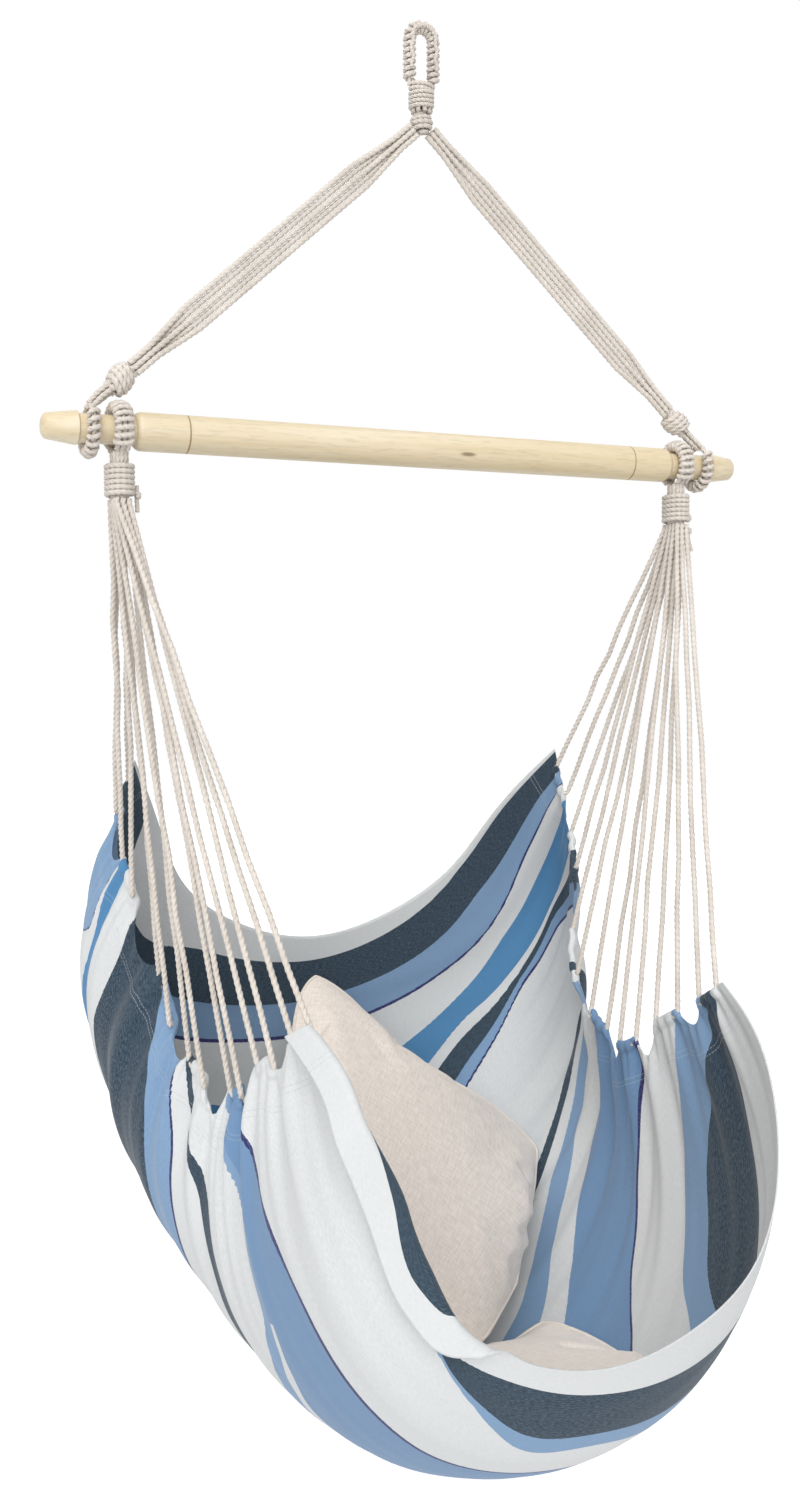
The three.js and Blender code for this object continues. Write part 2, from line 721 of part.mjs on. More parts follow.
function placeOf(shares, side = 1) {
  const [x, y, z] = shares;
  return new THREE.Vector3(side * x * seatHalfWidth, y * seatReach, -barDrop - z * seatDrop);
}

function seatGrid() {
  const rows = seatShares.map((row) => {
    const left = row.map((shares) => placeOf(shares, -1));
    const right = row.slice(0, -1).reverse().map((shares) => placeOf(shares, 1));
    return [...left, ...right];
  });
  return splineGrid(rows, clothAlong, clothAcross);
}

function gridNormals(grid) {
  const rows = grid.length;
  const columns = grid[0].length;
  return grid.map((row, j) => row.map((point, i) => {
    const down = grid[Math.min(j + 1, rows - 1)][i].clone().sub(grid[Math.max(j - 1, 0)][i]);
    const over = grid[j][Math.min(i + 1, columns - 1)].clone().sub(grid[j][Math.max(i - 1, 0)]);
    return over.cross(down).normalize();
  }));
}

// Hem peaks where the cord legs end, valleys between them, and pleats that fade down the cloth
function shapeCloth(smooth) {
  const normals = gridNormals(smooth);
  const lastColumn = clothAcross;
  const grid = smooth.map((row) => row.map((point) => point.clone()));
  for (let j = 0; j <= clothAlong; j += 1) {
    const wave = j % 2 === 1 ? 1 : -1;
    const betweenPairs = j % 4 === 0 && j > 0 && j < clothAlong;
    for (const [edge, step] of [[0, 1], [lastColumn, -1]]) {
      let fromHem = 0;
      for (let k = 0; k < clothAcross / 2; k += 1) {
        const i = edge + step * k;
        if (k > 0) fromHem += smooth[j][i].distanceTo(smooth[j][i - step]);
        const fade = Math.exp(-fromHem / pleatFade);
        const rimFade = Math.min(j, clothAlong - j, 2) / 2;
        grid[j][i].addScaledVector(normals[j][i], wave * pleatHeight * fade * rimFade * (k === 0 ? 0 : 1));
        if (betweenPairs) {
          const inward = smooth[j][i + step].clone().sub(smooth[j][i]).normalize();
          grid[j][i].addScaledVector(inward, scallopDepth * fade * fade);
        }
      }
    }
  }
  for (let j = 2; j < clothAlong; j += 4) {
    for (const i of [0, lastColumn]) {
      grid[j][i].copy(grid[j - 1][i]).add(grid[j + 1][i]).multiplyScalar(0.5);
    }
  }
  return grid;
}

function offsetGrid(grid, distance) {
  const normals = gridNormals(grid);
  return grid.map((row, j) => row.map((point, i) => (
    point.clone().addScaledVector(normals[j][i], distance))));
}

function makeCloth(grid) {
  const inner = offsetGrid(grid, clothThickness / 2);
  const outer = offsetGrid(grid, -clothThickness / 2);
  return addPiece('seat_cloth', skinGrids(inner, outer), pale);
}

// Suspension cords: each loop runs down to the hem, along it from one peak to the next, and back up

function filletCorner(before, corner, after, radius) {
  const arriving = corner.clone().sub(before).normalize();
  const leaving = after.clone().sub(corner).normalize();
  const turn = arriving.angleTo(leaving);
  const setback = radius * Math.tan(turn / 2);
  const start = corner.clone().addScaledVector(arriving, -setback);
  const axis = new THREE.Vector3().crossVectors(arriving, leaving).normalize();
  const toCentre = new THREE.Vector3().crossVectors(axis, arriving);
  const centre = start.clone().addScaledVector(toCentre, radius);
  const points = [];
  for (let i = 0; i <= bendSteps; i += 1) {
    const spoke = toCentre.clone().multiplyScalar(-radius).applyAxisAngle(axis, (turn * i) / bendSteps);
    points.push(centre.clone().add(spoke));
  }
  return points;
}

function legTop(side, leg) {
  return new THREE.Vector3(
    side * (seatEyeAt + legRowShares[leg] * bundleSpread),
    legColumnShares[leg] * bundleSpread,
    -barDrop - stemDrop - clearance,
  );
}

function makeSuspension(grid, side, name) {
  const edge = side < 0 ? 0 : clothAcross;
  const step = side < 0 ? 1 : -1;
  const hemPoint = (j) => {
    const here = grid[j][edge];
    const outward = here.clone().sub(grid[j][edge + step]).normalize();
    return { here, outward };
  };
  for (let loop = 0; loop < legsPerSide / 2; loop += 1) {
    const legs = [2 * loop, 2 * loop + 1];
    const ends = legs.map((leg) => {
      const { here } = hemPoint(2 * leg + 1);
      return here.clone();
    });
    const span = ends[1].clone().sub(ends[0]).normalize();
    const lift = hemPoint(2 * legs[0] + 1).outward.add(hemPoint(2 * legs[1] + 1).outward);
    lift.addScaledVector(span, -lift.dot(span)).normalize();
    const rise = cordRadius + clearance;
    const [hemA, hemB] = ends.map((end) => end.addScaledVector(lift, rise));
    const [topA, topB] = legs.map((leg) => legTop(side, leg));
    const straight = overrun;
    const stations = [
      topA,
      topA.clone().addScaledVector(up, -straight),
      ...filletCorner(topA, hemA, hemB, bendRadius),
      ...filletCorner(hemA, hemB, topB, bendRadius),
      topB.clone().addScaledVector(up, -straight),
      topB,
    ];
    addPiece(`${name}_suspension_cord_${loop + 1}`, cordAlong(stations, cordDiameter), cotton);
  }
}

// Cushions: two cover panels sewn round a filling, laid on what is under them

// A cushion's middle surface: a square with drawn-in sides, curled and with some corners bent
function cushionGrid({ middle, sides, side, depth, curl, corners, rise, rests }) {
  const [a, b] = sides.map((direction) => new THREE.Vector3(...direction).normalize());
  const normal = new THREE.Vector3().crossVectors(a, b).normalize();
  const lift = new THREE.Vector3(...rise).normalize();
  const half = side / 2;
  const steps = Array.from({ length: cushionSteps + 1 }, (_, k) => (2 * k) / cushionSteps - 1);
  const grid = steps.map((t) => steps.map((s) => {
    const corner = 1 - cornerShare * s * s * t * t;
    const x = half * s * corner * (1 - pullShare * (1 - t * t));
    const y = half * t * corner * (1 - pullShare * (1 - s * s));
    const crown = Math.max((1 - s * s) * (1 - t * t), 0) ** crownShare;
    const bend = corners.reduce((sum, height, k) => {
      const [cs, ct] = [k % 2 ? 1 : -1, k < 2 ? -1 : 1];
      return sum + height * (((1 + cs * s) * (1 + ct * t)) / 4) ** 2;
    }, 0);
    const height = curl.across * s * s + curl.along * t * t + curl.tilt * t + bend;
    const seam = middle.clone().addScaledVector(a, x).addScaledVector(b, y).addScaledVector(normal, height);
    return { seam, swell: (depth / 2 - rimHalf) * crown };
  }));
  settle(grid, normal, lift, rests);
  return { grid, normal };
}

// Lets a cushion down, from a little above, until it all but touches what it lies on
function settle(grid, normal, lift, rests) {
  for (const { seam } of grid.flat()) seam.addScaledVector(lift, settleHeight);
  const faces = [1, -1].map((way) => grid.map((row) => row.map(({ seam, swell }) => (
    seam.clone().addScaledVector(normal, way * (swell + rimHalf))))));
  const whole = new THREE.Mesh(skinGrids(...faces));
  const caster = new THREE.Raycaster();
  const drop = lift.clone().negate();
  let free = Infinity;
  const measure = (point, direction, targets) => {
    caster.set(point, direction);
    const hit = caster.intersectObjects(targets, false)[0];
    if (hit) free = Math.min(free, hit.distance);
  };
  for (const face of faces) {
    for (let j = 0; j < face.length; j += 1) {
      for (let i = 0; i < face.length; i += 1) {
        for (const next of [face[j][i + 1], face[j + 1]?.[i]]) {
          for (let k = 0; next && k <= edgeSteps; k += 1) {
            measure(face[j][i].clone().lerp(next, k / edgeSteps), drop, rests);
          }
        }
      }
    }
  }
  for (const body of rests) {
    const places = body.geometry.attributes.position;
    for (let i = 0; i < places.count; i += 1) {
      measure(new THREE.Vector3().fromBufferAttribute(places, i), lift, [whole]);
    }
  }
  for (const { seam } of grid.flat()) seam.addScaledVector(drop, free - clearance);
}

function makeCushion(name, finish, { grid, normal }) {
  const layer = (height) => grid.map((row) => row.map(({ seam, swell }) => (
    seam.clone().addScaledVector(normal, height(swell)))));
  const halfGap = clearance / 2;
  const wall = rimHalf - halfGap;
  const upper = skinGrids(layer((swell) => swell + rimHalf), layer((swell) => swell + rimHalf - wall));
  const top = addPiece(`${name}_front_panel`, upper, finish);
  const lower = skinGrids(layer((swell) => wall - swell - rimHalf), layer((swell) => -swell - rimHalf));
  addPiece(`${name}_rear_panel`, lower, finish);
  const inside = (rows) => rows.slice(1, -1).map((row) => row.slice(1, -1));
  const fillTop = inside(layer((swell) => swell + halfGap - fillingGap));
  const fillBottom = inside(layer((swell) => fillingGap - halfGap - swell));
  addPiece(`${name}_filling`, skinGrids(fillTop, fillBottom), filling);
  return top;
}

makeBar();
makeHangingEye();
makeThroat();
for (const [side, name] of [[-1, 'left'], [1, 'right']]) {
  makeSeatEye(side, name);
  makeBridleEye(side, name);
  makeKnot(side, name);
  makeBridle(side, name);
}
makeTails();

const clothGrid = shapeCloth(seatGrid());
const cloth = makeCloth(clothGrid);
makeSuspension(clothGrid, -1, 'left');
makeSuspension(clothGrid, 1, 'right');

const seatCushion = cushionGrid({
  middle: placeOf(seatCushionShares),
  sides: seatCushionSides,
  side: seatCushionSide,
  depth: seatCushionDepth,
  curl: { across: seatCushionSideRise, along: seatCushionEndRise, tilt: -seatCushionFrontRise },
  corners: [seatCushionCornerRise, seatCushionCornerRise, 0, 0],
  rise: seatCushionRise,
  rests: [cloth],
});
const seatTop = makeCushion('seat_cushion', warmLinen, seatCushion);
const backCushion = cushionGrid({
  middle: placeOf(backCushionShares),
  sides: backCushionSides,
  side: backCushionSide,
  depth: backCushionDepth,
  curl: { across: 0, along: 0, tilt: 0 },
  corners: [0, 0, backCushionRightBend, backCushionFootBend],
  rise: backCushionRise,
  rests: [cloth, seatTop],
});
makeCushion('back_cushion', linen, backCushion);

export default chair;
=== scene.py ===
import math
import bpy
import numpy as np
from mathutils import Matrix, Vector
from mathutils.kdtree import KDTree


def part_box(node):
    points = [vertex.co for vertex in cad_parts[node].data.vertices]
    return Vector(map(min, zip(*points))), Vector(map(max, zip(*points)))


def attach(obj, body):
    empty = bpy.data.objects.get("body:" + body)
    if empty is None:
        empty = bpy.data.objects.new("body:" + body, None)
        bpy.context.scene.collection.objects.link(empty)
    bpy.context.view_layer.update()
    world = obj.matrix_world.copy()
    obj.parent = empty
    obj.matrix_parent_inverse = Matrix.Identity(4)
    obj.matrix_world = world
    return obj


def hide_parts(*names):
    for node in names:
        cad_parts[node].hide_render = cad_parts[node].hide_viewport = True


# a hanging hammock chair: striped cotton seat on twisted cords, turned bar, cord bridle, two cushions
# metres, +Z up, the origin is the inside top of the hanging eye
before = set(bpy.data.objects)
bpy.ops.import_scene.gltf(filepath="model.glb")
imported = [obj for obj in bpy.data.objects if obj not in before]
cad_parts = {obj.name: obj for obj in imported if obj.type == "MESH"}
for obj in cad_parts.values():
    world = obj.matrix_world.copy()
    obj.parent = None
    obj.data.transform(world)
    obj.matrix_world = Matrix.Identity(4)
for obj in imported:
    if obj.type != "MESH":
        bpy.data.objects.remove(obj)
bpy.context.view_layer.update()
scene = bpy.context.scene
scene.view_settings.view_transform = "Standard"


def paint(code):
    # an sRGB hex colour, as linear RGBA
    parts = [int(code[k:k + 2], 16) / 255 for k in (1, 3, 5)]
    return tuple(v / 12.92 if v <= 0.04045 else ((v + 0.055) / 1.055) ** 2.4 for v in parts) + (1.0,)


def addNode(tree, kind, settings=None):
    # a node or a socket is linked; else a setting is the node's property of that name, or an input's value
    node = tree.nodes.new(kind)
    for key, value in (settings or {}).items():
        if isinstance(value, bpy.types.Node):
            value = value.outputs[0]
        if key == "stops":
            stops = node.color_ramp.elements
            for k, (place, code) in enumerate(value):
                stop = stops[k] if k < 2 else stops.new(place)
                stop.position = place
                stop.color = paint(code)
        elif isinstance(value, bpy.types.NodeSocket):
            tree.links.new(value, node.inputs[key])
        elif isinstance(key, str) and hasattr(node, key):
            setattr(node, key, value)
        else:
            node.inputs[key].default_value = value
    return node


def newMaterial(name):
    material = bpy.data.materials.new(name)
    material.use_nodes = True
    material.node_tree.nodes.clear()
    return material, material.node_tree


def linkObject(name, mesh, body, replaced=()):
    piece = bpy.data.objects.new(name, mesh)
    scene.collection.objects.link(piece)
    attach(piece, body)
    if replaced:
        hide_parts(*replaced)
    return piece


def meshFrom(name, vertices, faces, material=None, smooth=True):
    mesh = bpy.data.meshes.new(name)
    mesh.from_pydata([tuple(v) for v in vertices], [], [tuple(f) for f in faces])
    mesh.update()
    if smooth:
        mesh.shade_smooth()
    if material:
        mesh.materials.append(material)
    return mesh


def addUv(mesh, name, places):
    # a UV map from one flat place for each point of the mesh
    loops = np.zeros(len(mesh.loops), int)
    mesh.loops.foreach_get("vertex_index", loops)
    mesh.uv_layers.new(name=name).data.foreach_set("uv", places[loops].ravel())


view = {
    "place": (-0.759, -1.572, -0.691),
    "yaw": 25.0,  # degrees towards +X
    "pitch": 3.49,  # degrees down
    "lens": 36.67,
    "floorDepth": -2.0,
    "floorHalf": 12.0,
}


def makeCamera():
    yaw, pitch = math.radians(view["yaw"]), math.radians(view["pitch"])
    aim = Vector((math.sin(yaw) * math.cos(pitch), math.cos(yaw) * math.cos(pitch), -math.sin(pitch)))
    data = bpy.data.cameras.new("camera")
    data.lens = view["lens"]
    data.sensor_width = 36
    data.clip_end = 50
    camera = bpy.data.objects.new("camera", data)
    camera.location = view["place"]
    camera.rotation_mode = "QUATERNION"
    camera.rotation_quaternion = aim.to_track_quat("-Z", "Y")
    scene.collection.objects.link(camera)
    scene.camera = camera


lighting = {
    "ambient": 0.46,
    # each lamp: name, strength, where it shines from, and how wide it is in degrees, which softens its shadow
    "lamps": [
        ("keyLight", 1.95, (-0.45, -0.90, 0.50), 45.0),
        ("fillLight", 1.05, (-0.38, -0.12, 1.0), 60.0),
    ],
    "floorLift": 0.25,  # glow for the camera only, so that the floor meets the white background
}


def makeLight():
    world = bpy.data.worlds.new("studio")
    scene.world = world
    world.use_nodes = True
    tree = world.node_tree
    tree.nodes.clear()
    path = addNode(tree, "ShaderNodeLightPath").outputs
    seen = addNode(tree, "ShaderNodeMath", {
        "operation": "MAXIMUM", 0: path["Is Camera Ray"], 1: path["Is Glossy Ray"]})
    shown = addNode(tree, "ShaderNodeMath", {"operation": "MAXIMUM", 0: seen, 1: path["Is Transmission Ray"]})
    white = addNode(tree, "ShaderNodeBackground", {"Color": (1, 1, 1, 1), "Strength": 1.0})
    soft = addNode(tree, "ShaderNodeBackground", {"Color": paint("#FAFAFC"), "Strength": lighting["ambient"]})
    mix = addNode(tree, "ShaderNodeMixShader", {0: shown, 1: soft, 2: white})
    addNode(tree, "ShaderNodeOutputWorld", {0: mix})
    for name, strength, source, angle in lighting["lamps"]:
        data = bpy.data.lights.new(name, "SUN")
        data.energy = strength
        data.angle = math.radians(angle)
        lamp = bpy.data.objects.new(name, data)
        lamp.rotation_mode = "QUATERNION"
        lamp.rotation_quaternion = (-Vector(source)).to_track_quat("-Z", "Y")
        scene.collection.objects.link(lamp)


def makeFloor():
    material, tree = newMaterial("pale studio floor")
    path = addNode(tree, "ShaderNodeLightPath").outputs
    lift = addNode(tree, "ShaderNodeMath", {
        "operation": "MULTIPLY", 0: path["Is Camera Ray"], 1: lighting["floorLift"]})
    surface = addNode(tree, "ShaderNodeBsdfPrincipled", {
        "Base Color": paint("#FAFAFA"), "Roughness": 0.9, "Specular IOR Level": 0.0,
        "Emission Color": (1, 1, 1, 1), "Emission Strength": lift})
    addNode(tree, "ShaderNodeOutputMaterial", {0: surface})
    half, depth = view["floorHalf"], view["floorDepth"]
    corners = [(-half, -half, depth), (half, -half, depth), (half, half, depth), (-half, half, depth)]
    floor = bpy.data.objects.new("floor", meshFrom("floor", corners, [(0, 1, 2, 3)], material, False))
    scene.collection.objects.link(floor)


makeCamera()
makeLight()
makeFloor()
print("camera, light and floor ready")


def cottonCord():
    # undyed twisted cotton: rough and a little fuzzy, so that light dies softly round each strand
    material, tree = newMaterial("twisted cotton cord")
    place = addNode(tree, "ShaderNodeTexCoord").outputs["Object"]
    # fibres of 1.1 mm, coarser than the real ones to show
    fibres = addNode(tree, "ShaderNodeTexNoise", {
        "Scale": 900.0, "Detail": 3.0, "Roughness": 0.6, "Vector": place})
    soil = addNode(tree, "ShaderNodeTexNoise", {"Scale": 28.0, "Detail": 2.0, "Vector": place})  # about 36 mm
    fine = addNode(tree, "ShaderNodeMath", {"operation": "MULTIPLY_ADD", 0: fibres, 1: 0.45, 2: 0.05})
    both = addNode(tree, "ShaderNodeMath", {"operation": "MULTIPLY_ADD", 0: soil, 1: 0.5, 2: fine})
    colour = addNode(tree, "ShaderNodeValToRGB", {0: both, "stops": [(0.3, "#C6BCB1"), (0.75, "#E7E0D7")]})
    bump = addNode(tree, "ShaderNodeBump", {"Strength": 0.35, "Distance": 0.0006, "Height": fibres})
    surface = addNode(tree, "ShaderNodeBsdfPrincipled", {
        "Base Color": colour, "Normal": bump,
        "Roughness": 0.92, "Specular IOR Level": 0.2, "Sheen Weight": 0.25, "Sheen Roughness": 0.6})
    addNode(tree, "ShaderNodeOutputMaterial", {0: surface})
    return material


bar = {
    "half": 0.425,
    "radius": 0.020,
    "neckRadius": 0.015,
    "knobRadius": 0.0175,
    "tipRadius": 0.010,
    "shoulderAt": 0.331,
    "knobAt": 0.388,
    "knobEdge": (0.0003, 0.0015, 0.0012),  # where its bevel starts and ends, and the bevel's height
    "round": 0.009,
    "scoreAt": 0.274,
    "scoreWidth": 0.0018,
    "scoreDepth": 0.0008,
    "sides": 96,
    "sharpFrom": 40,  # degrees
    "nickAt": (0.050, -0.0195, -0.4585),
    "nickSize": (0.011, 0.006, 0.0026),
}


def beechWood():
    # turned beech under a thin clear finish: half rough with a weak coat, which gives a broad dull gleam
    material, tree = newMaterial("turned beech")
    place = addNode(tree, "ShaderNodeTexCoord").outputs["Object"]
    stretch = addNode(tree, "ShaderNodeMapping", {"Scale": (2.5, 55.0, 55.0), "Vector": place})
    figure = addNode(tree, "ShaderNodeTexNoise", {
        "Scale": 1.0, "Detail": 5.0, "Distortion": 0.8, "Vector": stretch})  # grain 18 mm wide, along the bar
    fleckMap = addNode(tree, "ShaderNodeMapping", {"Scale": (45.0, 420.0, 420.0), "Vector": place})
    flecks = addNode(tree, "ShaderNodeTexNoise", {
        "Scale": 1.0, "Detail": 2.0, "Vector": fleckMap})  # pores, drawn 2.4 mm wide to show
    colour = addNode(tree, "ShaderNodeValToRGB", {0: figure, "stops": [(0.3, "#D2BF98"), (0.72, "#E3D7BD")]})
    pores = addNode(tree, "ShaderNodeMapRange", {
        "From Min": 0.36, "From Max": 0.46, "To Min": 0.90, "To Max": 1.0, "Value": flecks})
    shade = addNode(tree, "ShaderNodeMix", {
        "data_type": "RGBA", "blend_type": "MULTIPLY", 0: 1.0, 6: colour, 7: pores}).outputs[2]
    # a dark nick on the front, and the two scored rings, painted darker as the shade in their grooves
    away = addNode(tree, "ShaderNodeVectorMath", {"operation": "SUBTRACT", 0: place, 1: bar["nickAt"]})
    even = addNode(tree, "ShaderNodeVectorMath", {"operation": "DIVIDE", 0: away, 1: bar["nickSize"]})
    reach = addNode(tree, "ShaderNodeVectorMath", {"operation": "LENGTH", 0: even}).outputs["Value"]
    nick = addNode(tree, "ShaderNodeMapRange", {
        "From Min": 0.5, "From Max": 1.1, "To Min": 0.85, "To Max": 0.0, "Value": reach})
    scarred = addNode(tree, "ShaderNodeMix", {
        "data_type": "RGBA", 0: nick, 6: shade, 7: paint("#7D6748")}).outputs[2]
    side = addNode(tree, "ShaderNodeMath", {
        "operation": "ABSOLUTE", 0: addNode(tree, "ShaderNodeSeparateXYZ", {0: place})})
    # painted shade: the rings' grooves are drawn in a darker beech, as the shade that falls in them
    ring = addNode(tree, "ShaderNodeMath", {
        "operation": "COMPARE", 0: side, 1: bar["scoreAt"], 2: bar["scoreWidth"] / 2})
    grooveShaded = addNode(tree, "ShaderNodeMix", {
        "data_type": "RGBA", 0: ring, 6: scarred, 7: paint("#A58F69")}).outputs[2]
    bump = addNode(tree, "ShaderNodeBump", {"Strength": 0.15, "Distance": 0.0004, "Height": pores})
    surface = addNode(tree, "ShaderNodeBsdfPrincipled", {
        "Base Color": grooveShaded, "Normal": bump,
        "Roughness": 0.5, "IOR": 1.5, "Coat Weight": 0.15, "Coat Roughness": 0.35})
    addNode(tree, "ShaderNodeOutputMaterial", {0: surface})
    return material


def wovenLinen(name, low, high):
    # plain linen weave, slubby both ways and without gloss; its threads are drawn at 2.4 mm to show
    material, tree = newMaterial(name)
    place = addNode(tree, "ShaderNodeUVMap", {"uv_map": "panel"})
    threads = []
    for scale in ((60.0, 420.0, 1.0), (420.0, 60.0, 1.0)):
        turned = addNode(tree, "ShaderNodeMapping", {"Scale": scale, "Vector": place})
        threads.append(addNode(tree, "ShaderNodeTexNoise", {
            "Scale": 1.0, "Detail": 2.0, "Roughness": 0.6, "Vector": turned}))
    both = addNode(tree, "ShaderNodeMath", {"operation": "ADD", 0: threads[0], 1: threads[1]})
    share = addNode(tree, "ShaderNodeMath", {"operation": "MULTIPLY", 0: both, 1: 0.5})
    colour = addNode(tree, "ShaderNodeValToRGB", {0: share, "stops": [(0.36, low), (0.64, high)]})
    bump = addNode(tree, "ShaderNodeBump", {"Strength": 0.4, "Distance": 0.0005, "Height": both})
    surface = addNode(tree, "ShaderNodeBsdfPrincipled", {
        "Base Color": colour, "Normal": bump,
        "Roughness": 0.9, "Specular IOR Level": 0.2, "Sheen Weight": 0.2, "Sheen Roughness": 0.5})
    addNode(tree, "ShaderNodeOutputMaterial", {0: surface})
    return material


stripes = {
    # colours and widths in metres, from the back selvedge to the front one
    "bands": [
        ("#D1D3D3", 0.050), ("#2A3946", 0.090), ("#7C99B9", 0.060), ("#2B2560", 0.005), ("#D1D3D3", 0.090),
        # the wide blue band near the back, #4C82AE, is deeper than the front's #6C8CB0: partly its own tone,
        # partly painted shade of the back inside where it lies
        ("#4C82AE", 0.110), ("#D1D3D3", 0.040), ("#2A3946", 0.090), ("#7C99B9", 0.045), ("#2B2560", 0.005),
        ("#D1D3D3", 0.110), ("#2A3946", 0.025), ("#D1D3D3", 0.055), ("#7C99B9", 0.035), ("#D1D3D3", 0.025),
        ("#6C8CB0", 0.110), ("#2B2560", 0.005), ("#D1D3D3", 0.110), ("#7C99B9", 0.045), ("#2A3946", 0.075),
        ("#D1D3D3", 0.060),
    ],
    # where each band ends, as a share of the way from the back rim to the front one, at these places
    # across the seat: the folds hold some bands back at the sides
    "across": [0, .045, .1, .15, .2, .27, .33, .38, .44, .5, .66, .75, .85, .95, 1],
    "ends": [
        [.004, .004, .01, .052, .058, .054, .034, .032, .03, .028, .014, .006, .004, .004, .004],
        [.085, .08, .058, .056, .064, .085, .085, .083, .081, .078, .052, .038, .04, .04, .05],
        [.175, .18, .195, .062, .068, .112, .12, .118, .115, .112, .08, .07, .058, .06, .075],
        [.178, .183, .198, .065, .071, .116, .124, .122, .119, .116, .084, .074, .062, .064, .078],
        [.184, .188, .205, .195, .185, .185, .19, .19, .19, .19, .12, .094, .092, .1, .11],
        [.2, .206, .215, .212, .225, .261, .27, .273, .277, .28, .145, .132, .135, .16, .17],
        [.256, .266, .262, .248, .255, .278, .3, .303, .306, .31, .165, .145, .14, .18, .22],
        [.333, .365, .405, .41, .41, .405, .4, .397, .394, .39, .2, .15, .15, .21, .27],
        [.443, .461, .482, .478, .475, .462, .45, .447, .444, .44, .225, .156, .165, .24, .297],
        [.447, .465, .486, .482, .479, .466, .454, .451, .448, .444, .229, .16, .169, .244, .3],
        [.468, .487, .552, .562, .572, .56, .55, .544, .537, .53, .42, .37, .31, .33, .37],
        [.486, .501, .572, .586, .6, .587, .575, .568, .559, .55, .45, .385, .335, .345, .385],
        [.6, .655, .718, .726, .735, .678, .63, .621, .611, .6, .515, .41, .355, .36, .4],
        [.612, .668, .732, .745, .753, .705, .665, .656, .645, .635, .55, .455, .375, .375, .41],
        [.622, .68, .742, .757, .763, .721, .69, .681, .671, .66, .6, .513, .457, .452, .47],
        [.692, .738, .792, .811, .83, .832, .834, .83, .835, .838, .73, .655, .637, .658, .68],
        [.696, .742, .796, .815, .834, .836, .838, .834, .839, .842, .734, .659, .641, .662, .684],
        [.925, .952, .97, .972, .972, .972, .961, .942, .889, .899, .828, .765, .758, .79, .81],
        [.95, .965, .974, .974, .974, .974, .963, .945, .909, .914, .866, .8, .8, .86, .922],
        [.965, .975, .978, .976, .976, .976, .965, .975, .973, .967, .926, .905, .9, .93, .955],
    ],
    # the last three of these on the inside, where the rolled selvedge leaves the next bands to show
    "insideEnds": [
        [.915, .922, .93, .948, .965, .975, .95, .92, .907, .895, .83, .765, .758, .79, .81],
        [.94, .949, .96, .978, .996, .998, .975, .945, .932, .92, .87, .8, .8, .86, .922],
        [.99, .993, .997, 1.002, 1.010, 1.025, 1.012, .978, .975, .972, .93, .905, .9, .93, .955],
    ],
    "hiddenBand": (14, -0.335),  # the thin white band, and the place left of which it lies in a fold
    "hiddenSpare": 0.004,  # of its fold beyond each of its edges
    "waver": 0.0012,  # of the band edges, about one thread
    "stitchRows": (0.046, 0.052),  # depth below the hem's edge
    "stitchesPerMetre": 260.0,
}
bandEdges = np.concatenate([[0], np.cumsum([width for _, width in stripes["bands"]])])


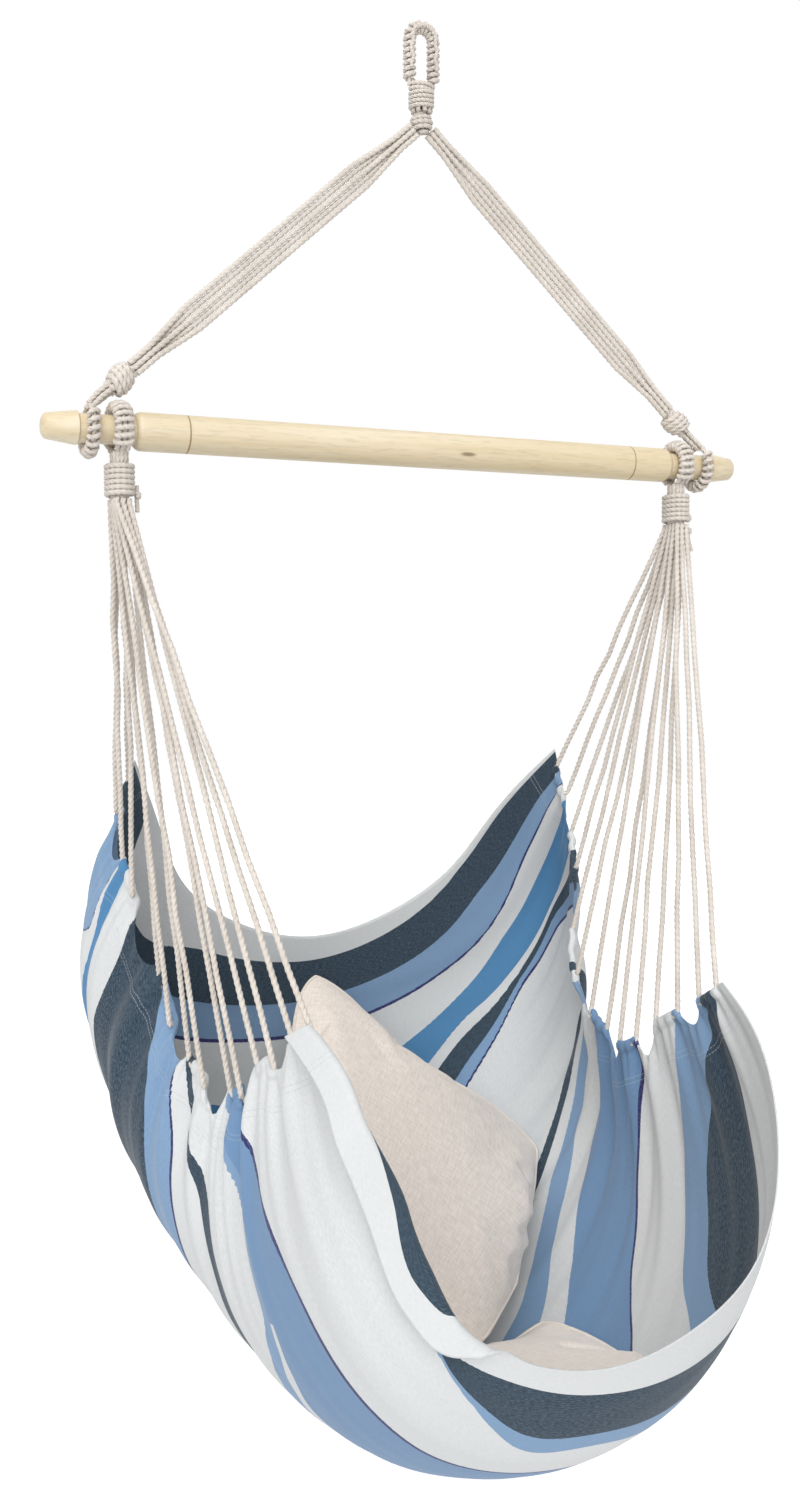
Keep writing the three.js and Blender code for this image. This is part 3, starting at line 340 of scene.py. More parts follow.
def stripedCotton():
    # yarn-dyed cotton, matt: its pale weft flecks the dark bands, and every band edge wavers by a thread
    material, tree = newMaterial("woven striped cotton")
    place = addNode(tree, "ShaderNodeUVMap", {"uv_map": "cloth"})
    parts = addNode(tree, "ShaderNodeSeparateXYZ", {0: place})
    jitterMap = addNode(tree, "ShaderNodeMapping", {"Scale": (700.0, 60.0, 1.0), "Vector": place})
    jitter = addNode(tree, "ShaderNodeTexNoise", {"Scale": 1.0, "Detail": 1.0, "Vector": jitterMap})
    waver = addNode(tree, "ShaderNodeMath", {
        "operation": "MULTIPLY_ADD", 0: jitter, 1: stripes["waver"], 2: parts.outputs[1]})
    share = addNode(tree, "ShaderNodeMath", {"operation": "DIVIDE", 0: waver, 1: bandEdges[-1]})
    stops = [(edge / bandEdges[-1], code) for edge, (code, _) in zip(bandEdges, stripes["bands"])]
    plain = addNode(tree, "ShaderNodeValToRGB", {0: share, "stops": stops})
    plain.color_ramp.interpolation = "CONSTANT"
    number, edge = stripes["hiddenBand"]
    wide = stripes["bands"][number][1]
    inBand = addNode(tree, "ShaderNodeMath", {
        "operation": "COMPARE", 0: parts.outputs[1], 1: bandEdges[number] + wide / 2,
        2: wide / 2 + stripes["hiddenSpare"]})
    atLeft = addNode(tree, "ShaderNodeMath", {"operation": "LESS_THAN", 0: parts, 1: edge})
    hidden = addNode(tree, "ShaderNodeMath", {"operation": "MULTIPLY", 0: inBand, 1: atLeft})
    banded = addNode(tree, "ShaderNodeMix", {
        "data_type": "RGBA", 0: hidden, 6: plain, 7: paint(stripes["bands"][number + 1][0])}).outputs[2]
    # flecks 5 mm long and 1 mm wide, fewer where the band is bright
    speckleMap = addNode(tree, "ShaderNodeMapping", {"Scale": (190.0, 900.0, 1.0), "Vector": place})
    speckle = addNode(tree, "ShaderNodeTexNoise", {
        "Scale": 1.0, "Detail": 2.0, "Roughness": 0.7, "Vector": speckleMap})
    pale = addNode(tree, "ShaderNodeMapRange", {
        "From Min": 0.42, "From Max": 0.72, "To Min": 0.0, "To Max": 0.34, "Value": speckle})
    bright = addNode(tree, "ShaderNodeRGBToBW", {0: banded})
    dark = addNode(tree, "ShaderNodeMapRange", {
        "From Min": 0.05, "From Max": 0.5, "To Min": 1.0, "To Max": 0.12, "Value": bright})
    fleck = addNode(tree, "ShaderNodeMath", {"operation": "MULTIPLY", 0: pale, 1: dark})
    flecked = addNode(tree, "ShaderNodeMix", {
        "data_type": "RGBA", 0: fleck, 6: banded, 7: paint("#8397A8")}).outputs[2]
    # ribs of 1.1 mm, coarser than the real threads to show, which also give the relief
    ribMap = addNode(tree, "ShaderNodeMapping", {"Scale": (180.0, 900.0, 1.0), "Vector": place})
    ribs = addNode(tree, "ShaderNodeTexNoise", {"Scale": 1.0, "Detail": 2.0, "Vector": ribMap})
    shade = addNode(tree, "ShaderNodeMapRange", {
        "From Min": 0.3, "From Max": 0.7, "To Min": 0.92, "To Max": 1.04, "Value": ribs})
    woven = addNode(tree, "ShaderNodeMix", {
        "data_type": "RGBA", "blend_type": "MULTIPLY", 0: 1.0, 6: flecked, 7: shade}).outputs[2]
    # the hem's two rows of stitches, one to 3.8 mm, drawn 1.2 mm wide to show
    hem = addNode(tree, "ShaderNodeSeparateXYZ", {0: addNode(tree, "ShaderNodeUVMap", {"uv_map": "hem"})})
    rows = [addNode(tree, "ShaderNodeMath", {"operation": "COMPARE", 0: hem, 1: depth, 2: 0.0006})
            for depth in stripes["stitchRows"]]
    line = addNode(tree, "ShaderNodeMath", {"operation": "MAXIMUM", 0: rows[0], 1: rows[1]})
    run = addNode(tree, "ShaderNodeMath", {
        "operation": "MULTIPLY", 0: hem.outputs[1], 1: stripes["stitchesPerMetre"]})
    dash = addNode(tree, "ShaderNodeMath", {"operation": "FRACT", 0: run})
    gap = addNode(tree, "ShaderNodeMath", {"operation": "GREATER_THAN", 0: dash, 1: 0.3})
    stitch = addNode(tree, "ShaderNodeMath", {"operation": "MULTIPLY", 0: line, 1: gap})
    seen = addNode(tree, "ShaderNodeMath", {"operation": "MULTIPLY", 0: stitch, 1: 0.45})
    sewn = addNode(tree, "ShaderNodeMix", {
        "data_type": "RGBA", 0: seen, 6: woven, 7: paint("#AEB6BD")}).outputs[2]
    bump = addNode(tree, "ShaderNodeBump", {"Strength": 0.35, "Distance": 0.0005, "Height": ribs})
    surface = addNode(tree, "ShaderNodeBsdfPrincipled", {
        "Base Color": sewn, "Normal": bump,
        "Roughness": 0.88, "Specular IOR Level": 0.2, "Sheen Weight": 0.15, "Sheen Roughness": 0.5})
    addNode(tree, "ShaderNodeOutputMaterial", {0: surface})
    return material


cotton = cottonCord()
beech = beechWood()
linen = wovenLinen("beige linen", "#D9CDC2", "#EDE4DA")
warmLinen = wovenLinen("warm beige linen", "#E6DACD", "#F5ECE2")
striped = stripedCotton()
print("materials ready")

rope = {
    "diameter": 0.0066,
    "lay": 0.022,  # length of one full twist
    "sides": 12,
    "groove": 0.34,  # share of the radius that the grooves cut in
}


def makeRopeTree():
    # a route resampled and twisted once per lay, with a section swept along it that has three lobes
    tree = bpy.data.node_groups.new("twistedCord", "GeometryNodeTree")
    tree.interface.new_socket("Geometry", in_out="INPUT", socket_type="NodeSocketGeometry")
    sockets = {}
    for name, kind in (("Diameter", "Float"), ("Lay", "Float"), ("Groove", "Float"), ("Material", "Material")):
        sockets[name] = tree.interface.new_socket(
            name, in_out="INPUT", socket_type="NodeSocket" + kind).identifier
    tree.interface.new_socket("Geometry", in_out="OUTPUT", socket_type="NodeSocketGeometry")
    given = addNode(tree, "NodeGroupInput").outputs
    curve = addNode(tree, "GeometryNodeMeshToCurve", {0: given["Geometry"]})
    step = addNode(tree, "ShaderNodeMath", {"operation": "DIVIDE", 0: given["Lay"], 1: float(rope["sides"])})
    even = addNode(tree, "GeometryNodeResampleCurve", {"mode": "LENGTH", "Curve": curve, "Length": step})
    along = addNode(tree, "GeometryNodeSplineParameter").outputs["Length"]
    turns = addNode(tree, "ShaderNodeMath", {"operation": "DIVIDE", 0: along, 1: given["Lay"]})
    tilt = addNode(tree, "ShaderNodeMath", {"operation": "MULTIPLY", 0: turns, 1: 2 * math.pi})
    twisted = addNode(tree, "GeometryNodeSetCurveTilt", {"Curve": even, "Tilt": tilt})
    radius = addNode(tree, "ShaderNodeMath", {"operation": "MULTIPLY", 0: given["Diameter"], 1: 0.5})
    circle = addNode(tree, "GeometryNodeCurvePrimitiveCircle", {"Resolution": rope["sides"], "Radius": radius})
    angle = addNode(tree, "ShaderNodeMath", {
        "operation": "MULTIPLY", 0: addNode(tree, "GeometryNodeInputIndex"), 1: 3 * math.pi / rope["sides"]})
    lobe = addNode(tree, "ShaderNodeMath", {"operation": "COSINE", 0: angle})
    swell = addNode(tree, "ShaderNodeMath", {"operation": "ABSOLUTE", 0: lobe})
    least = addNode(tree, "ShaderNodeMath", {"operation": "SUBTRACT", 0: 1.0, 1: given["Groove"]})
    shape = addNode(tree, "ShaderNodeMath", {
        "operation": "MULTIPLY_ADD", 0: swell, 1: given["Groove"], 2: least})
    scaled = addNode(tree, "ShaderNodeVectorMath", {
        "operation": "SCALE", 0: addNode(tree, "GeometryNodeInputPosition"), "Scale": shape})
    profile = addNode(tree, "GeometryNodeSetPosition", {"Geometry": circle, "Position": scaled})
    skin = addNode(tree, "GeometryNodeCurveToMesh", {
        "Fill Caps": True, "Curve": twisted, "Profile Curve": profile})
    whole = addNode(tree, "GeometryNodeRealizeInstances", {0: skin})
    dressed = addNode(tree, "GeometryNodeSetMaterial", {"Geometry": whole, "Material": given["Material"]})
    addNode(tree, "NodeGroupOutput", {0: dressed})
    return tree, sockets


ropeTree, ropeSockets = makeRopeTree()


def ropeAlong(name, route, body, replaced=(), diameter=rope["diameter"], lay=rope["lay"],
              groove=rope["groove"], material=cotton, slotName="cord"):
    # route is one run of points, or several separate runs
    runs = [route] if np.ndim(route[0]) == 1 else route
    points, edges = [], []
    for run in runs:
        edges += [(len(points) + k, len(points) + k + 1) for k in range(len(run) - 1)]
        points += [tuple(p) for p in run]
    mesh = bpy.data.meshes.new(name + "_route")
    mesh.from_pydata(points, edges, [])
    guide = bpy.data.objects.new(name + "_route", mesh)
    scene.collection.objects.link(guide)
    modifier = guide.modifiers.new("cord", "NODES")
    modifier.node_group = ropeTree
    for socket, value in (("Diameter", diameter), ("Lay", lay), ("Groove", groove), ("Material", material)):
        modifier[ropeSockets[socket]] = value
    graph = bpy.context.evaluated_depsgraph_get()
    result = bpy.data.meshes.new_from_object(guide.evaluated_get(graph))
    result.name = name
    result.shade_smooth()
    bpy.data.objects.remove(guide)
    return linkObject(name, result, body, replaced)


seat = {
    "halfWidth": 0.300,
    "reach": 0.400,
    "drop": 1.100,
    "barDrop": 0.454,
    "legs": 14,  # cord legs on each side
    "scallop": 0.026,  # inward, between the cord pairs
    "scallopForm": (2.2, 0.8),  # powers that make it flat in the middle and steep at its ends
    "gather": 0.0030,
    "gatherFrom": 0.012,  # distance from the hem at which the gathers are full, and from where they fade
    "gatherFade": 0.045,
    "casing": 0.0032,  # how far the hem swells round its cord
    "hemSteps": [0, .0012, .003, .005, .0075, .010, .0125, .015, .018, .022, .027, .033, .040, .048],
    "pleat": 0.009,
    "pleatFrom": 0.055,
    "pleatFade": 0.120,
    # long soft folds: height, number round the hem, turns per metre away from it, and phase
    "folds": [(.0024, 9, .9, .1), (.0018, 13, -1.3, .45), (.0013, 23, .7, .8), (.0009, 37, -.6, .3)],
    "foldFrom": 0.05,
    "foldFade": 0.26,
    "thickness": 0.0016,
    "edgeForm": (0.35, 0.003),  # share of its thickness at the hem's edge, and over what depth it grows
    # how much of the cloth is rolled outwards at the front rim's left, and at which places across
    "rollAcross": [0, .1, .17, .22, .27, .31, .337, .36, .39, .42],
    "rollShares": [.029, .029, .034, .041, .044, .041, .034, .024, .011, 0],
    "rollLength": 1.28,
    "rollRadius": 0.005,
    "rollTurn": 2.75,
    "rimPush": (0.024, 0.004, 0),  # of the front rim's left part, where the roll draws it inwards
    "rimRise": (0, 0, 0.009),  # of its middle
    # where those two set in and over how much of the way to the front rim, then the same across, with
    # where they end and over how much
    "rimSets": (0.88, 0.12),
    "pushAcross": (0.13, 0.10, 0.40, 0.12),
    "riseAcross": (0.30, 0.12, 0.68, 0.14),
    "rimFrom": 0.94,  # share of the way to the front from where the rows lie closer
    "unevenness": 0.3,  # share by which one pleat differs from the next, at random
    "cordRoom": (0.0062, 0.0072),  # middle and half width of the room for the cord, from the hem's edge
    "legPitch": 0.04,  # of hem to each cord leg, for the stitches
    "stepsAcross": 154,
    "stepsAlong": 300,
    "rimRows": 34,
    # places from the left hem to the middle, in rows from the back rim to the front one,
    # as shares of the half width, of the reach and of the drop
    "shares": [
        [(.945, .45, .32), (.785, .625, .395), (.635, .74, .47), (.365, .805, .525), (0, .825, .55)],
        [(1.005, .45, .39), (1.085, .625, .49), (.95, .75, .6), (.575, .84, .665), (0, .875, .685)],
        [(.965, .35, .465), (1.085, .51, .58), (.955, .645, .71), (.565, .745, .79), (0, .78, .825)],
        [(.875, .245, .57), (1.015, .32, .675), (.905, .42, .795), (.545, .505, .88), (0, .545, .915)],
        [(.86, .07, .615), (.925, .105, .73), (.8, .15, .855), (.475, .18, .945), (0, .195, .975)],
        [(.81, -.12, .625), (.865, -.13, .75), (.765, -.145, .87), (.46, -.175, .965), (0, -.19, 1)],
        [(.81, -.285, .59), (.865, -.34, .72), (.76, -.44, .845), (.465, -.525, .94), (0, -.56, .975)],
        [(.8, -.475, .555), (.845, -.625, .665), (.755, -.775, .775), (.475, -.86, .865), (0, -.9, .9)],
        [(.785, -.625, .525), (.745, -.84, .575), (.7, -.945, .675), (.475, -1.01, .765), (0, -1.03, .81)],
    ],
}


def unit(vectors):
    return vectors / np.maximum(np.linalg.norm(vectors, axis=-1, keepdims=True), 1e-9)


def lengthsAlong(points):
    # the distance of each point from the first one of its line
    steps = np.linalg.norm(np.diff(points, axis=-2), axis=-1)
    return np.concatenate([np.zeros_like(steps[..., :1]), np.cumsum(steps, axis=-1)], axis=-1)


def splineAt(values, places):
    # a natural cubic spline through evenly spaced values, at places from 0 to 1
    values = np.asarray(values, float)
    n = len(values)
    system = np.eye(n)
    right = np.zeros_like(values)
    for k in range(1, n - 1):
        system[k, k - 1:k + 2] = (1, 4, 1)
        right[k] = 6 * (values[k + 1] - 2 * values[k] + values[k - 1])
    bend = np.linalg.solve(system, right.reshape(n, -1)).reshape(values.shape)
    spot = np.clip(np.asarray(places) * (n - 1), 0, n - 1)
    low = np.minimum(spot.astype(int), n - 2)
    b = (spot - low).reshape((-1,) + (1,) * (values.ndim - 1))
    a = 1 - b
    curved = (a ** 3 - a) * bend[low] + (b ** 3 - b) * bend[low + 1]
    return a * values[low] + b * values[low + 1] + curved / 6


def placeOf(share, side=1):
    across, along, down = share
    return side * across * seat["halfWidth"], along * seat["reach"], -seat["barDrop"] - down * seat["drop"]


def smoothSeat(alongPlaces, acrossPlaces):
    rows = np.array([[placeOf(s, -1) for s in row] + [placeOf(s) for s in row[-2::-1]]
                     for row in seat["shares"]])
    tall = splineAt(rows, alongPlaces)
    return np.swapaxes(splineAt(np.swapaxes(tall, 0, 1), acrossPlaces), 0, 1)


def surfaceNormals(grid):
    return unit(np.cross(np.gradient(grid, axis=1), np.gradient(grid, axis=0)))


def smoothStep(x):
    x = np.clip(x, 0, 1)
    return x * x * (3 - 2 * x)


def between(x, first, rise, last, fall):
    # 1 between two places, easing in over the rise and out over the fall
    return smoothStep((x - first) / rise) * smoothStep((last - x) / fall)


def softened(line, reach, beyond):
    # a line of values smoothed over so many neighbours, with this value past its end
    kernel = np.hanning(2 * reach + 3)
    padded = np.concatenate([np.full(reach, line[0]), line, np.full(reach, beyond)])
    return np.convolve(padded, kernel[1:-1] / kernel.sum(), mode="valid")


def sampled(fine, rows, columns):
    # a fine grid read between its points, at rows and columns from 0 to 1
    y = np.clip(rows, 0, 1) * (fine.shape[0] - 1)
    x = np.clip(columns, 0, 1) * (fine.shape[1] - 1)
    j = np.minimum(y.astype(int), fine.shape[0] - 2)
    i = np.minimum(x.astype(int), fine.shape[1] - 2)
    b, a = (y - j)[..., None], (x - i)[..., None]
    top = fine[j, i] * (1 - a) + fine[j, i + 1] * a
    bottom = fine[j + 1, i] * (1 - a) + fine[j + 1, i + 1] * a
    return top * (1 - b) + bottom * b


def rolledShare(places):
    fine = np.linspace(0, 1, 201)
    share = np.interp(fine, seat["rollAcross"], seat["rollShares"])
    return np.interp(places, fine, softened(share, 4, 0))


def shapedSeat(alongPlaces):
    # rows of the seat with its hem peaks, valleys, pleats and gathers, and its rolled front selvedge
    # also each point's distance from its hem, place across, and share of the way from back to front
    fineRows, fineColumns = np.linspace(0, 1, 601), np.linspace(0, 1, 401)
    fine = smoothSeat(fineRows, fineColumns)
    acrossRun = lengthsAlong(fine)
    near = np.array(seat["hemSteps"])
    count = seat["stepsAcross"] + 1 - 2 * len(near)
    shape = (len(alongPlaces), seat["stepsAcross"] + 1)
    places, fromHem = np.zeros(shape), np.zeros(shape)
    for k, v in enumerate(alongPlaces):
        line = acrossRun[int(round(v * (len(fineRows) - 1)))]
        inner = np.linspace(near[-1], line[-1] - near[-1], count + 2)[1:-1]
        wanted = np.concatenate([near, inner, line[-1] - near[::-1]])
        places[k] = np.interp(wanted, line, fineColumns)
        fromHem[k] = np.minimum(wanted, line[-1] - wanted)
    rolled = rolledShare(places)
    standing = np.minimum(alongPlaces[:, None] / (1 - rolled), 1)
    beyond = np.maximum(alongPlaces[:, None] - (1 - rolled), 0)
    grid = sampled(fine, standing, places)
    normal = sampled(surfaceNormals(fine), standing, places)
    forward = sampled(unit(np.gradient(fine, axis=0)), standing, places)
    radius = seat["rollRadius"]
    turn = seat["rollTurn"] * smoothStep(rolled / max(seat["rollShares"]) * 2)
    past = beyond * seat["rollLength"]
    angle = np.minimum(past / radius, turn)
    rest = past - angle * radius
    grid = grid + forward * (radius * np.sin(angle) + rest * np.cos(angle))[..., None] \
        + normal * (radius * (1 - np.cos(angle)) + rest * np.sin(angle))[..., None]
    normal = normal * np.cos(angle)[..., None] - forward * np.sin(angle)[..., None]
    rimAt, rimOver = seat["rimSets"]
    nearRim = smoothStep((standing - rimAt) / rimOver)
    push = between(places, *seat["pushAcross"]) * nearRim
    rise = between(places, *seat["riseAcross"]) * nearRim
    grid = grid + push[..., None] * np.array(seat["rimPush"]) + rise[..., None] * np.array(seat["rimRise"])
    leg = standing * 2 * seat["legs"]  # odd numbers are peaks of the hem
    rng = np.random.default_rng(7)
    peaks = np.arange(2 * seat["legs"] + 1)
    leftSize, rightSize = 1 + seat["unevenness"] * rng.uniform(-1, 1, (2, len(peaks)))
    size = np.where(places < 0.5, np.interp(leg, peaks, leftSize), np.interp(leg, peaks, rightSize))
    wave = -np.cos(np.pi * leg)
    rim = np.clip(np.minimum(leg, 2 * seat["legs"] - leg), 0, 2) / 2
    beside = np.abs((leg + 2) % 4 - 2)  # 0 between two pairs of legs
    flat, steep = seat["scallopForm"]
    dip = (1 - np.clip(beside, 0, 1) ** flat) ** steep
    dip = np.where((leg > 3) & (leg < 2 * seat["legs"] - 3), dip, 0)
    fade = np.exp(-fromHem / seat["pleatFade"])
    lift = wave * rim * size * seat["pleat"] * fade * np.clip(fromHem / seat["pleatFrom"], 0, 1)
    gather = np.cos(3 * np.pi * leg + 0.6 * np.sin(leg)) * rim
    lift = lift + gather * size * seat["gather"] * np.exp(-fromHem / seat["gatherFade"]) \
        * np.clip(fromHem / seat["gatherFrom"], 0, 1)
    for height, around, outwards, phase in seat["folds"]:
        lift = lift + height * np.sin(2 * np.pi * (around * standing + outwards * fromHem + phase)) * rim \
            * np.exp(-fromHem / seat["foldFade"]) * np.clip(fromHem / seat["foldFrom"], 0, 1)
    inward = np.zeros_like(grid)
    half = grid.shape[1] // 2
    inward[:, :half] = grid[:, 1:half + 1] - grid[:, :half]
    inward[:, half + 1:] = grid[:, half:-1] - grid[:, half + 1:]
    scallop = dip * size * seat["scallop"] * fade ** 2
    grid = grid + normal * lift[..., None] + unit(inward) * scallop[..., None]
    return grid, fromHem, places, standing + beyond


def clothLengths(places, shares, outside):
    # each point's distance from the back selvedge, measured along the cloth as it was woven
    across = np.linspace(0, 1, 101)
    rows = list(stripes["ends"])
    if not outside:
        rows[-3:] = stripes["insideEnds"]
    ends = [softened(np.interp(across, stripes["across"], row), 3, row[-1]) for row in rows]
    ends = np.array([0 * across, *np.maximum.accumulate(ends, axis=0), 1 + rolledShare(across)])
    result = np.zeros_like(places)
    column = np.clip(places * 100, 0, 99.999)  # in hundredths of the way across
    low = column.astype(int)
    share = column - low
    for k in range(places.shape[0]):
        for i in range(places.shape[1]):
            edges = ends[:, low[k, i]] * (1 - share[k, i]) + ends[:, low[k, i] + 1] * share[k, i]
            result[k, i] = np.interp(shares[k, i], edges, bandEdges)
    return result


def makeSeatCloth():
    rimRows, rimFrom = seat["rimRows"], seat["rimFrom"]
    along = np.concatenate([np.linspace(0, rimFrom, seat["stepsAlong"] + 1 - rimRows),
                            np.linspace(rimFrom, 1, rimRows + 1)[1:]])
    grid, fromHem, places, shares = shapedSeat(along)
    normal = surfaceNormals(grid)
    leg = along * 2 * seat["legs"]
    middle = grid.shape[1] // 2
    widthRun = lengthsAlong(grid)
    uvAcross = widthRun - widthRun[:, middle:middle + 1]
    alongInside, alongOutside = (clothLengths(places, shares, outside) for outside in (False, True))
    # the hem holds a cord between the two legs of each pair
    held = np.clip((1.25 - np.abs((leg % 4) - 2)) / 0.25, 0, 1)
    held = held * ((leg > 0.5) & (leg < 2 * seat["legs"] - 0.5))
    cordAt, cordReach = seat["cordRoom"]
    bulge = np.sqrt(np.clip(1 - ((fromHem - cordAt) / cordReach) ** 2, 0, 1))
    half = seat["thickness"] / 2 + seat["casing"] * bulge * held[:, None]
    edgeShare, edgeDepth = seat["edgeForm"]
    half = half * np.clip(edgeShare + fromHem / edgeDepth, 0, 1)
    rows, columns = grid.shape[:2]
    vertices = np.concatenate([(grid + normal * half[..., None]).reshape(-1, 3),
                               (grid - normal * half[..., None]).reshape(-1, 3)])
    index = np.arange(rows * columns).reshape(rows, columns)
    a, b, c, d = index[:-1, :-1], index[:-1, 1:], index[1:, 1:], index[1:, :-1]
    quads = np.stack([a, d, c, b], axis=-1).reshape(-1, 4)
    under = rows * columns
    ring = np.concatenate([index[0, :], index[1:, -1], index[-1, -2::-1], index[-2:0:-1, 0]])
    nextRing = np.roll(ring, -1)
    wall = np.stack([ring, ring + under, nextRing + under, nextRing], axis=-1)
    faces = np.concatenate([quads[:, ::-1], quads + under, wall])
    mesh = meshFrom("seat_cloth", vertices, faces.tolist(), striped)
    legRun = np.repeat(leg[:, None] * seat["legPitch"], columns, axis=1)
    for name, first, outside, inside in (
            ("cloth", uvAcross, alongOutside, alongInside), ("hem", fromHem, legRun, legRun)):
        addUv(mesh, name, np.concatenate([
            np.stack([first, second], axis=-1).reshape(-1, 2) for second in (outside, inside)]))
    piece = linkObject("striped_seat", mesh, "seat", ["seat_cloth"])
    return grid


seatGrid = makeSeatCloth()
print("seat cloth ready")

loopsOf = {
    "eyeAt": 0.345,
    "spacing": 0.0065,
    "stemDrop": 0.070,
    "gap": 0.0003,  # from the stem's end
    "straightDown": 0.005,  # out of the stem, before the cord turns to the hem
    "bend": 0.006,
    "waves": 9,
    "waver": 0.0016,
    "stepsPerLeg": 16,  # rows of the seat
    "hemColumn": 4,  # the one that lies where the cord runs in the hem
    "bendSteps": 4,  # of the hem's points, which the bend into it takes up
    "columns": [2, 2, 2, 1, 1, 1, 0, 0, -1, -1, -1, -2, -2, -2],  # back to front
    "rows": [-1, 0, 1, -1, 0, 1, -1, 1, -1, 0, 1, -1, 0, 1],  # inwards to outwards
}


def roundedCorner(before, corner, after, radius, steps=6):
    # points of the arc, of this radius, that starts where the line before the corner bends off
    arriving = (corner - before).normalized()
    leaving = (after - corner).normalized()
    turn = arriving.angle(leaving)
    start = corner - arriving * radius * math.tan(turn / 2)
    axis = arriving.cross(leaving).normalized()
    inwards = axis.cross(arriving)
    centre = start + inwards * radius
    points = []
    for k in range(steps + 1):
        angle = turn * k / steps
        points.append(centre - inwards * radius * math.cos(angle) + arriving * radius * math.sin(angle))
    return points


def wavyRun(start, end, rng):
    # points between the ends of a slack-laid cord, each a little off the straight line
    across = (end - start).cross(Vector((0, 1, 0))).normalized()
    other = (end - start).cross(across).normalized()
    points = []
    for share in np.linspace(0, 1, loopsOf["waves"] + 2)[1:-1]:
        off = rng.uniform(-1, 1, 2) * loopsOf["waver"] * min(1, 4 * share, 4 * (1 - share))
        points.append(start.lerp(end, share) + across * off[0] + other * off[1])
    return points


def makeSuspension():
    rng = np.random.default_rng(11)
    steps, inside, skip = loopsOf["stepsPerLeg"], loopsOf["hemColumn"], loopsOf["bendSteps"]
    edges, *_ = shapedSeat(np.linspace(0, 1, steps * seat["legs"] + 1))
    for side, name, column in ((-1, "left", inside), (1, "right", -1 - inside)):
        for loop in range(seat["legs"] // 2):
            hem = [Vector(p) for p in edges[2 * loop * steps + steps // 2:, column][:steps + 1]]
            tops = [Vector((side * (loopsOf["eyeAt"] + loopsOf["rows"][leg] * loopsOf["spacing"]),
                            loopsOf["columns"][leg] * loopsOf["spacing"],
                            -seat["barDrop"] - loopsOf["stemDrop"] - loopsOf["gap"]))
                    for leg in (2 * loop, 2 * loop + 1)]
            down = Vector((0, 0, -loopsOf["straightDown"]))
            first = roundedCorner(tops[0] + down, hem[0], hem[skip], loopsOf["bend"])
            second = roundedCorner(hem[-1 - skip], hem[-1], tops[1] + down, loopsOf["bend"])
            route = [tops[0], tops[0] + down, *wavyRun(tops[0] + down, first[0], rng), *first,
                     *hem[skip:-skip], *second, *wavyRun(second[-1], tops[1] + down, rng),
                     tops[1] + down, tops[1]]
            ropeAlong(f"{name}_cord_loop_{loop + 1}", route, "seat",
                      [f"{name}_suspension_cord_{loop + 1}"])


makeSuspension()
print("suspension cords ready")

bridle = {
    "swing": (0, 0, -0.096),
    "ballRadius": 0.0135,
    "knotAt": (0.343, 0, -0.402),
    "knotHalf": 0.017,
    "gap": 0.0003,  # from the ball and from the knot
    "lines": 5,  # on each side
    "spread": 0.0065,
    "packed": (0.1, 0.5, 0.46),  # share of a line at each end, and how close the lines lie there
    "layer": 0.12,  # how far a free line stands before or behind the next
    "places": [0, .06, .2, .4, .6, .8, .93, 1],
}


def makeBridleCords():
    swing = Vector(bridle["swing"])
    for side, name in ((-1, "left"), (1, "right")):
        knot = Vector(bridle["knotAt"])
        knot.x *= side
        pull = (swing - knot).normalized()
        across = pull.cross(Vector((0, 1, 0))).normalized()
        top = swing - pull * (bridle["ballRadius"] + bridle["gap"])
        bottom = knot + pull * (bridle["knotHalf"] + bridle["gap"])
        within, closeAcross, closeLayer = bridle["packed"]
        for k in range(bridle["lines"]):
            layer = -1 if k % 2 == 0 else 1
            points = []
            for share in bridle["places"]:
                packed = min(share, 1 - share) < within
                spread = (k - bridle["lines"] // 2) * bridle["spread"] * (closeAcross if packed else 1)
                lift = layer * bridle["spread"] * (closeLayer if packed else bridle["layer"])
                points.append(top.lerp(bottom, share) + across * spread + Vector((0, lift, 0)))
            ropeAlong(f"{name}_bridle_line_{k + 1}", points, "bridle", [f"{name}_bridle_cord_{k + 1}"])


makeBridleCords()
print("bridle ready")


def makeBar():
    quarter = math.pi / 2

    def corner(place, radius, first, last):
        return [(place + bar["round"] * math.sin(a), radius + bar["round"] * math.cos(a))
                for a in np.linspace(first * quarter, last * quarter, 10)]
    edgeFrom, edgeTo, edgeHeight = bar["knobEdge"]
    right = [
        (bar["scoreAt"] - bar["scoreWidth"] / 2, bar["radius"]),
        (bar["scoreAt"], bar["radius"] - bar["scoreDepth"]),
        (bar["scoreAt"] + bar["scoreWidth"] / 2, bar["radius"]),
        *corner(bar["shoulderAt"] - bar["round"], bar["radius"] - bar["round"], 0, 0.7),
        (bar["shoulderAt"], bar["neckRadius"]), (bar["knobAt"], bar["neckRadius"]),
        (bar["knobAt"] + edgeFrom, bar["knobRadius"] - edgeHeight), (bar["knobAt"] + edgeTo, bar["knobRadius"]),
        *corner(bar["half"] - bar["round"], bar["tipRadius"] - bar["round"] / 2, 0.35, 1),
    ]
    profile = [(-x, r) for x, r in reversed(right)] + right
    sides = bar["sides"]
    angles = np.linspace(0, 2 * math.pi, sides, endpoint=False)
    vertices = [(x, r * math.cos(a), -seat["barDrop"] + r * math.sin(a)) for x, r in profile for a in angles]
    starts = range(0, (len(profile) - 1) * sides, sides)
    faces = [(j + k, j + (k + 1) % sides, j + sides + (k + 1) % sides, j + sides + k)
             for j in starts for k in range(sides)]
    faces.append(range(sides)[::-1])
    faces.append(range((len(profile) - 1) * sides, len(profile) * sides))
    mesh = meshFrom("turned_bar", vertices, faces, beech)
    mesh.set_sharp_from_angle(angle=math.radians(bar["sharpFrom"]))
    linkObject("turned_bar", mesh, "bar", ["spreader_bar"])


makeBar()
print("bar ready")

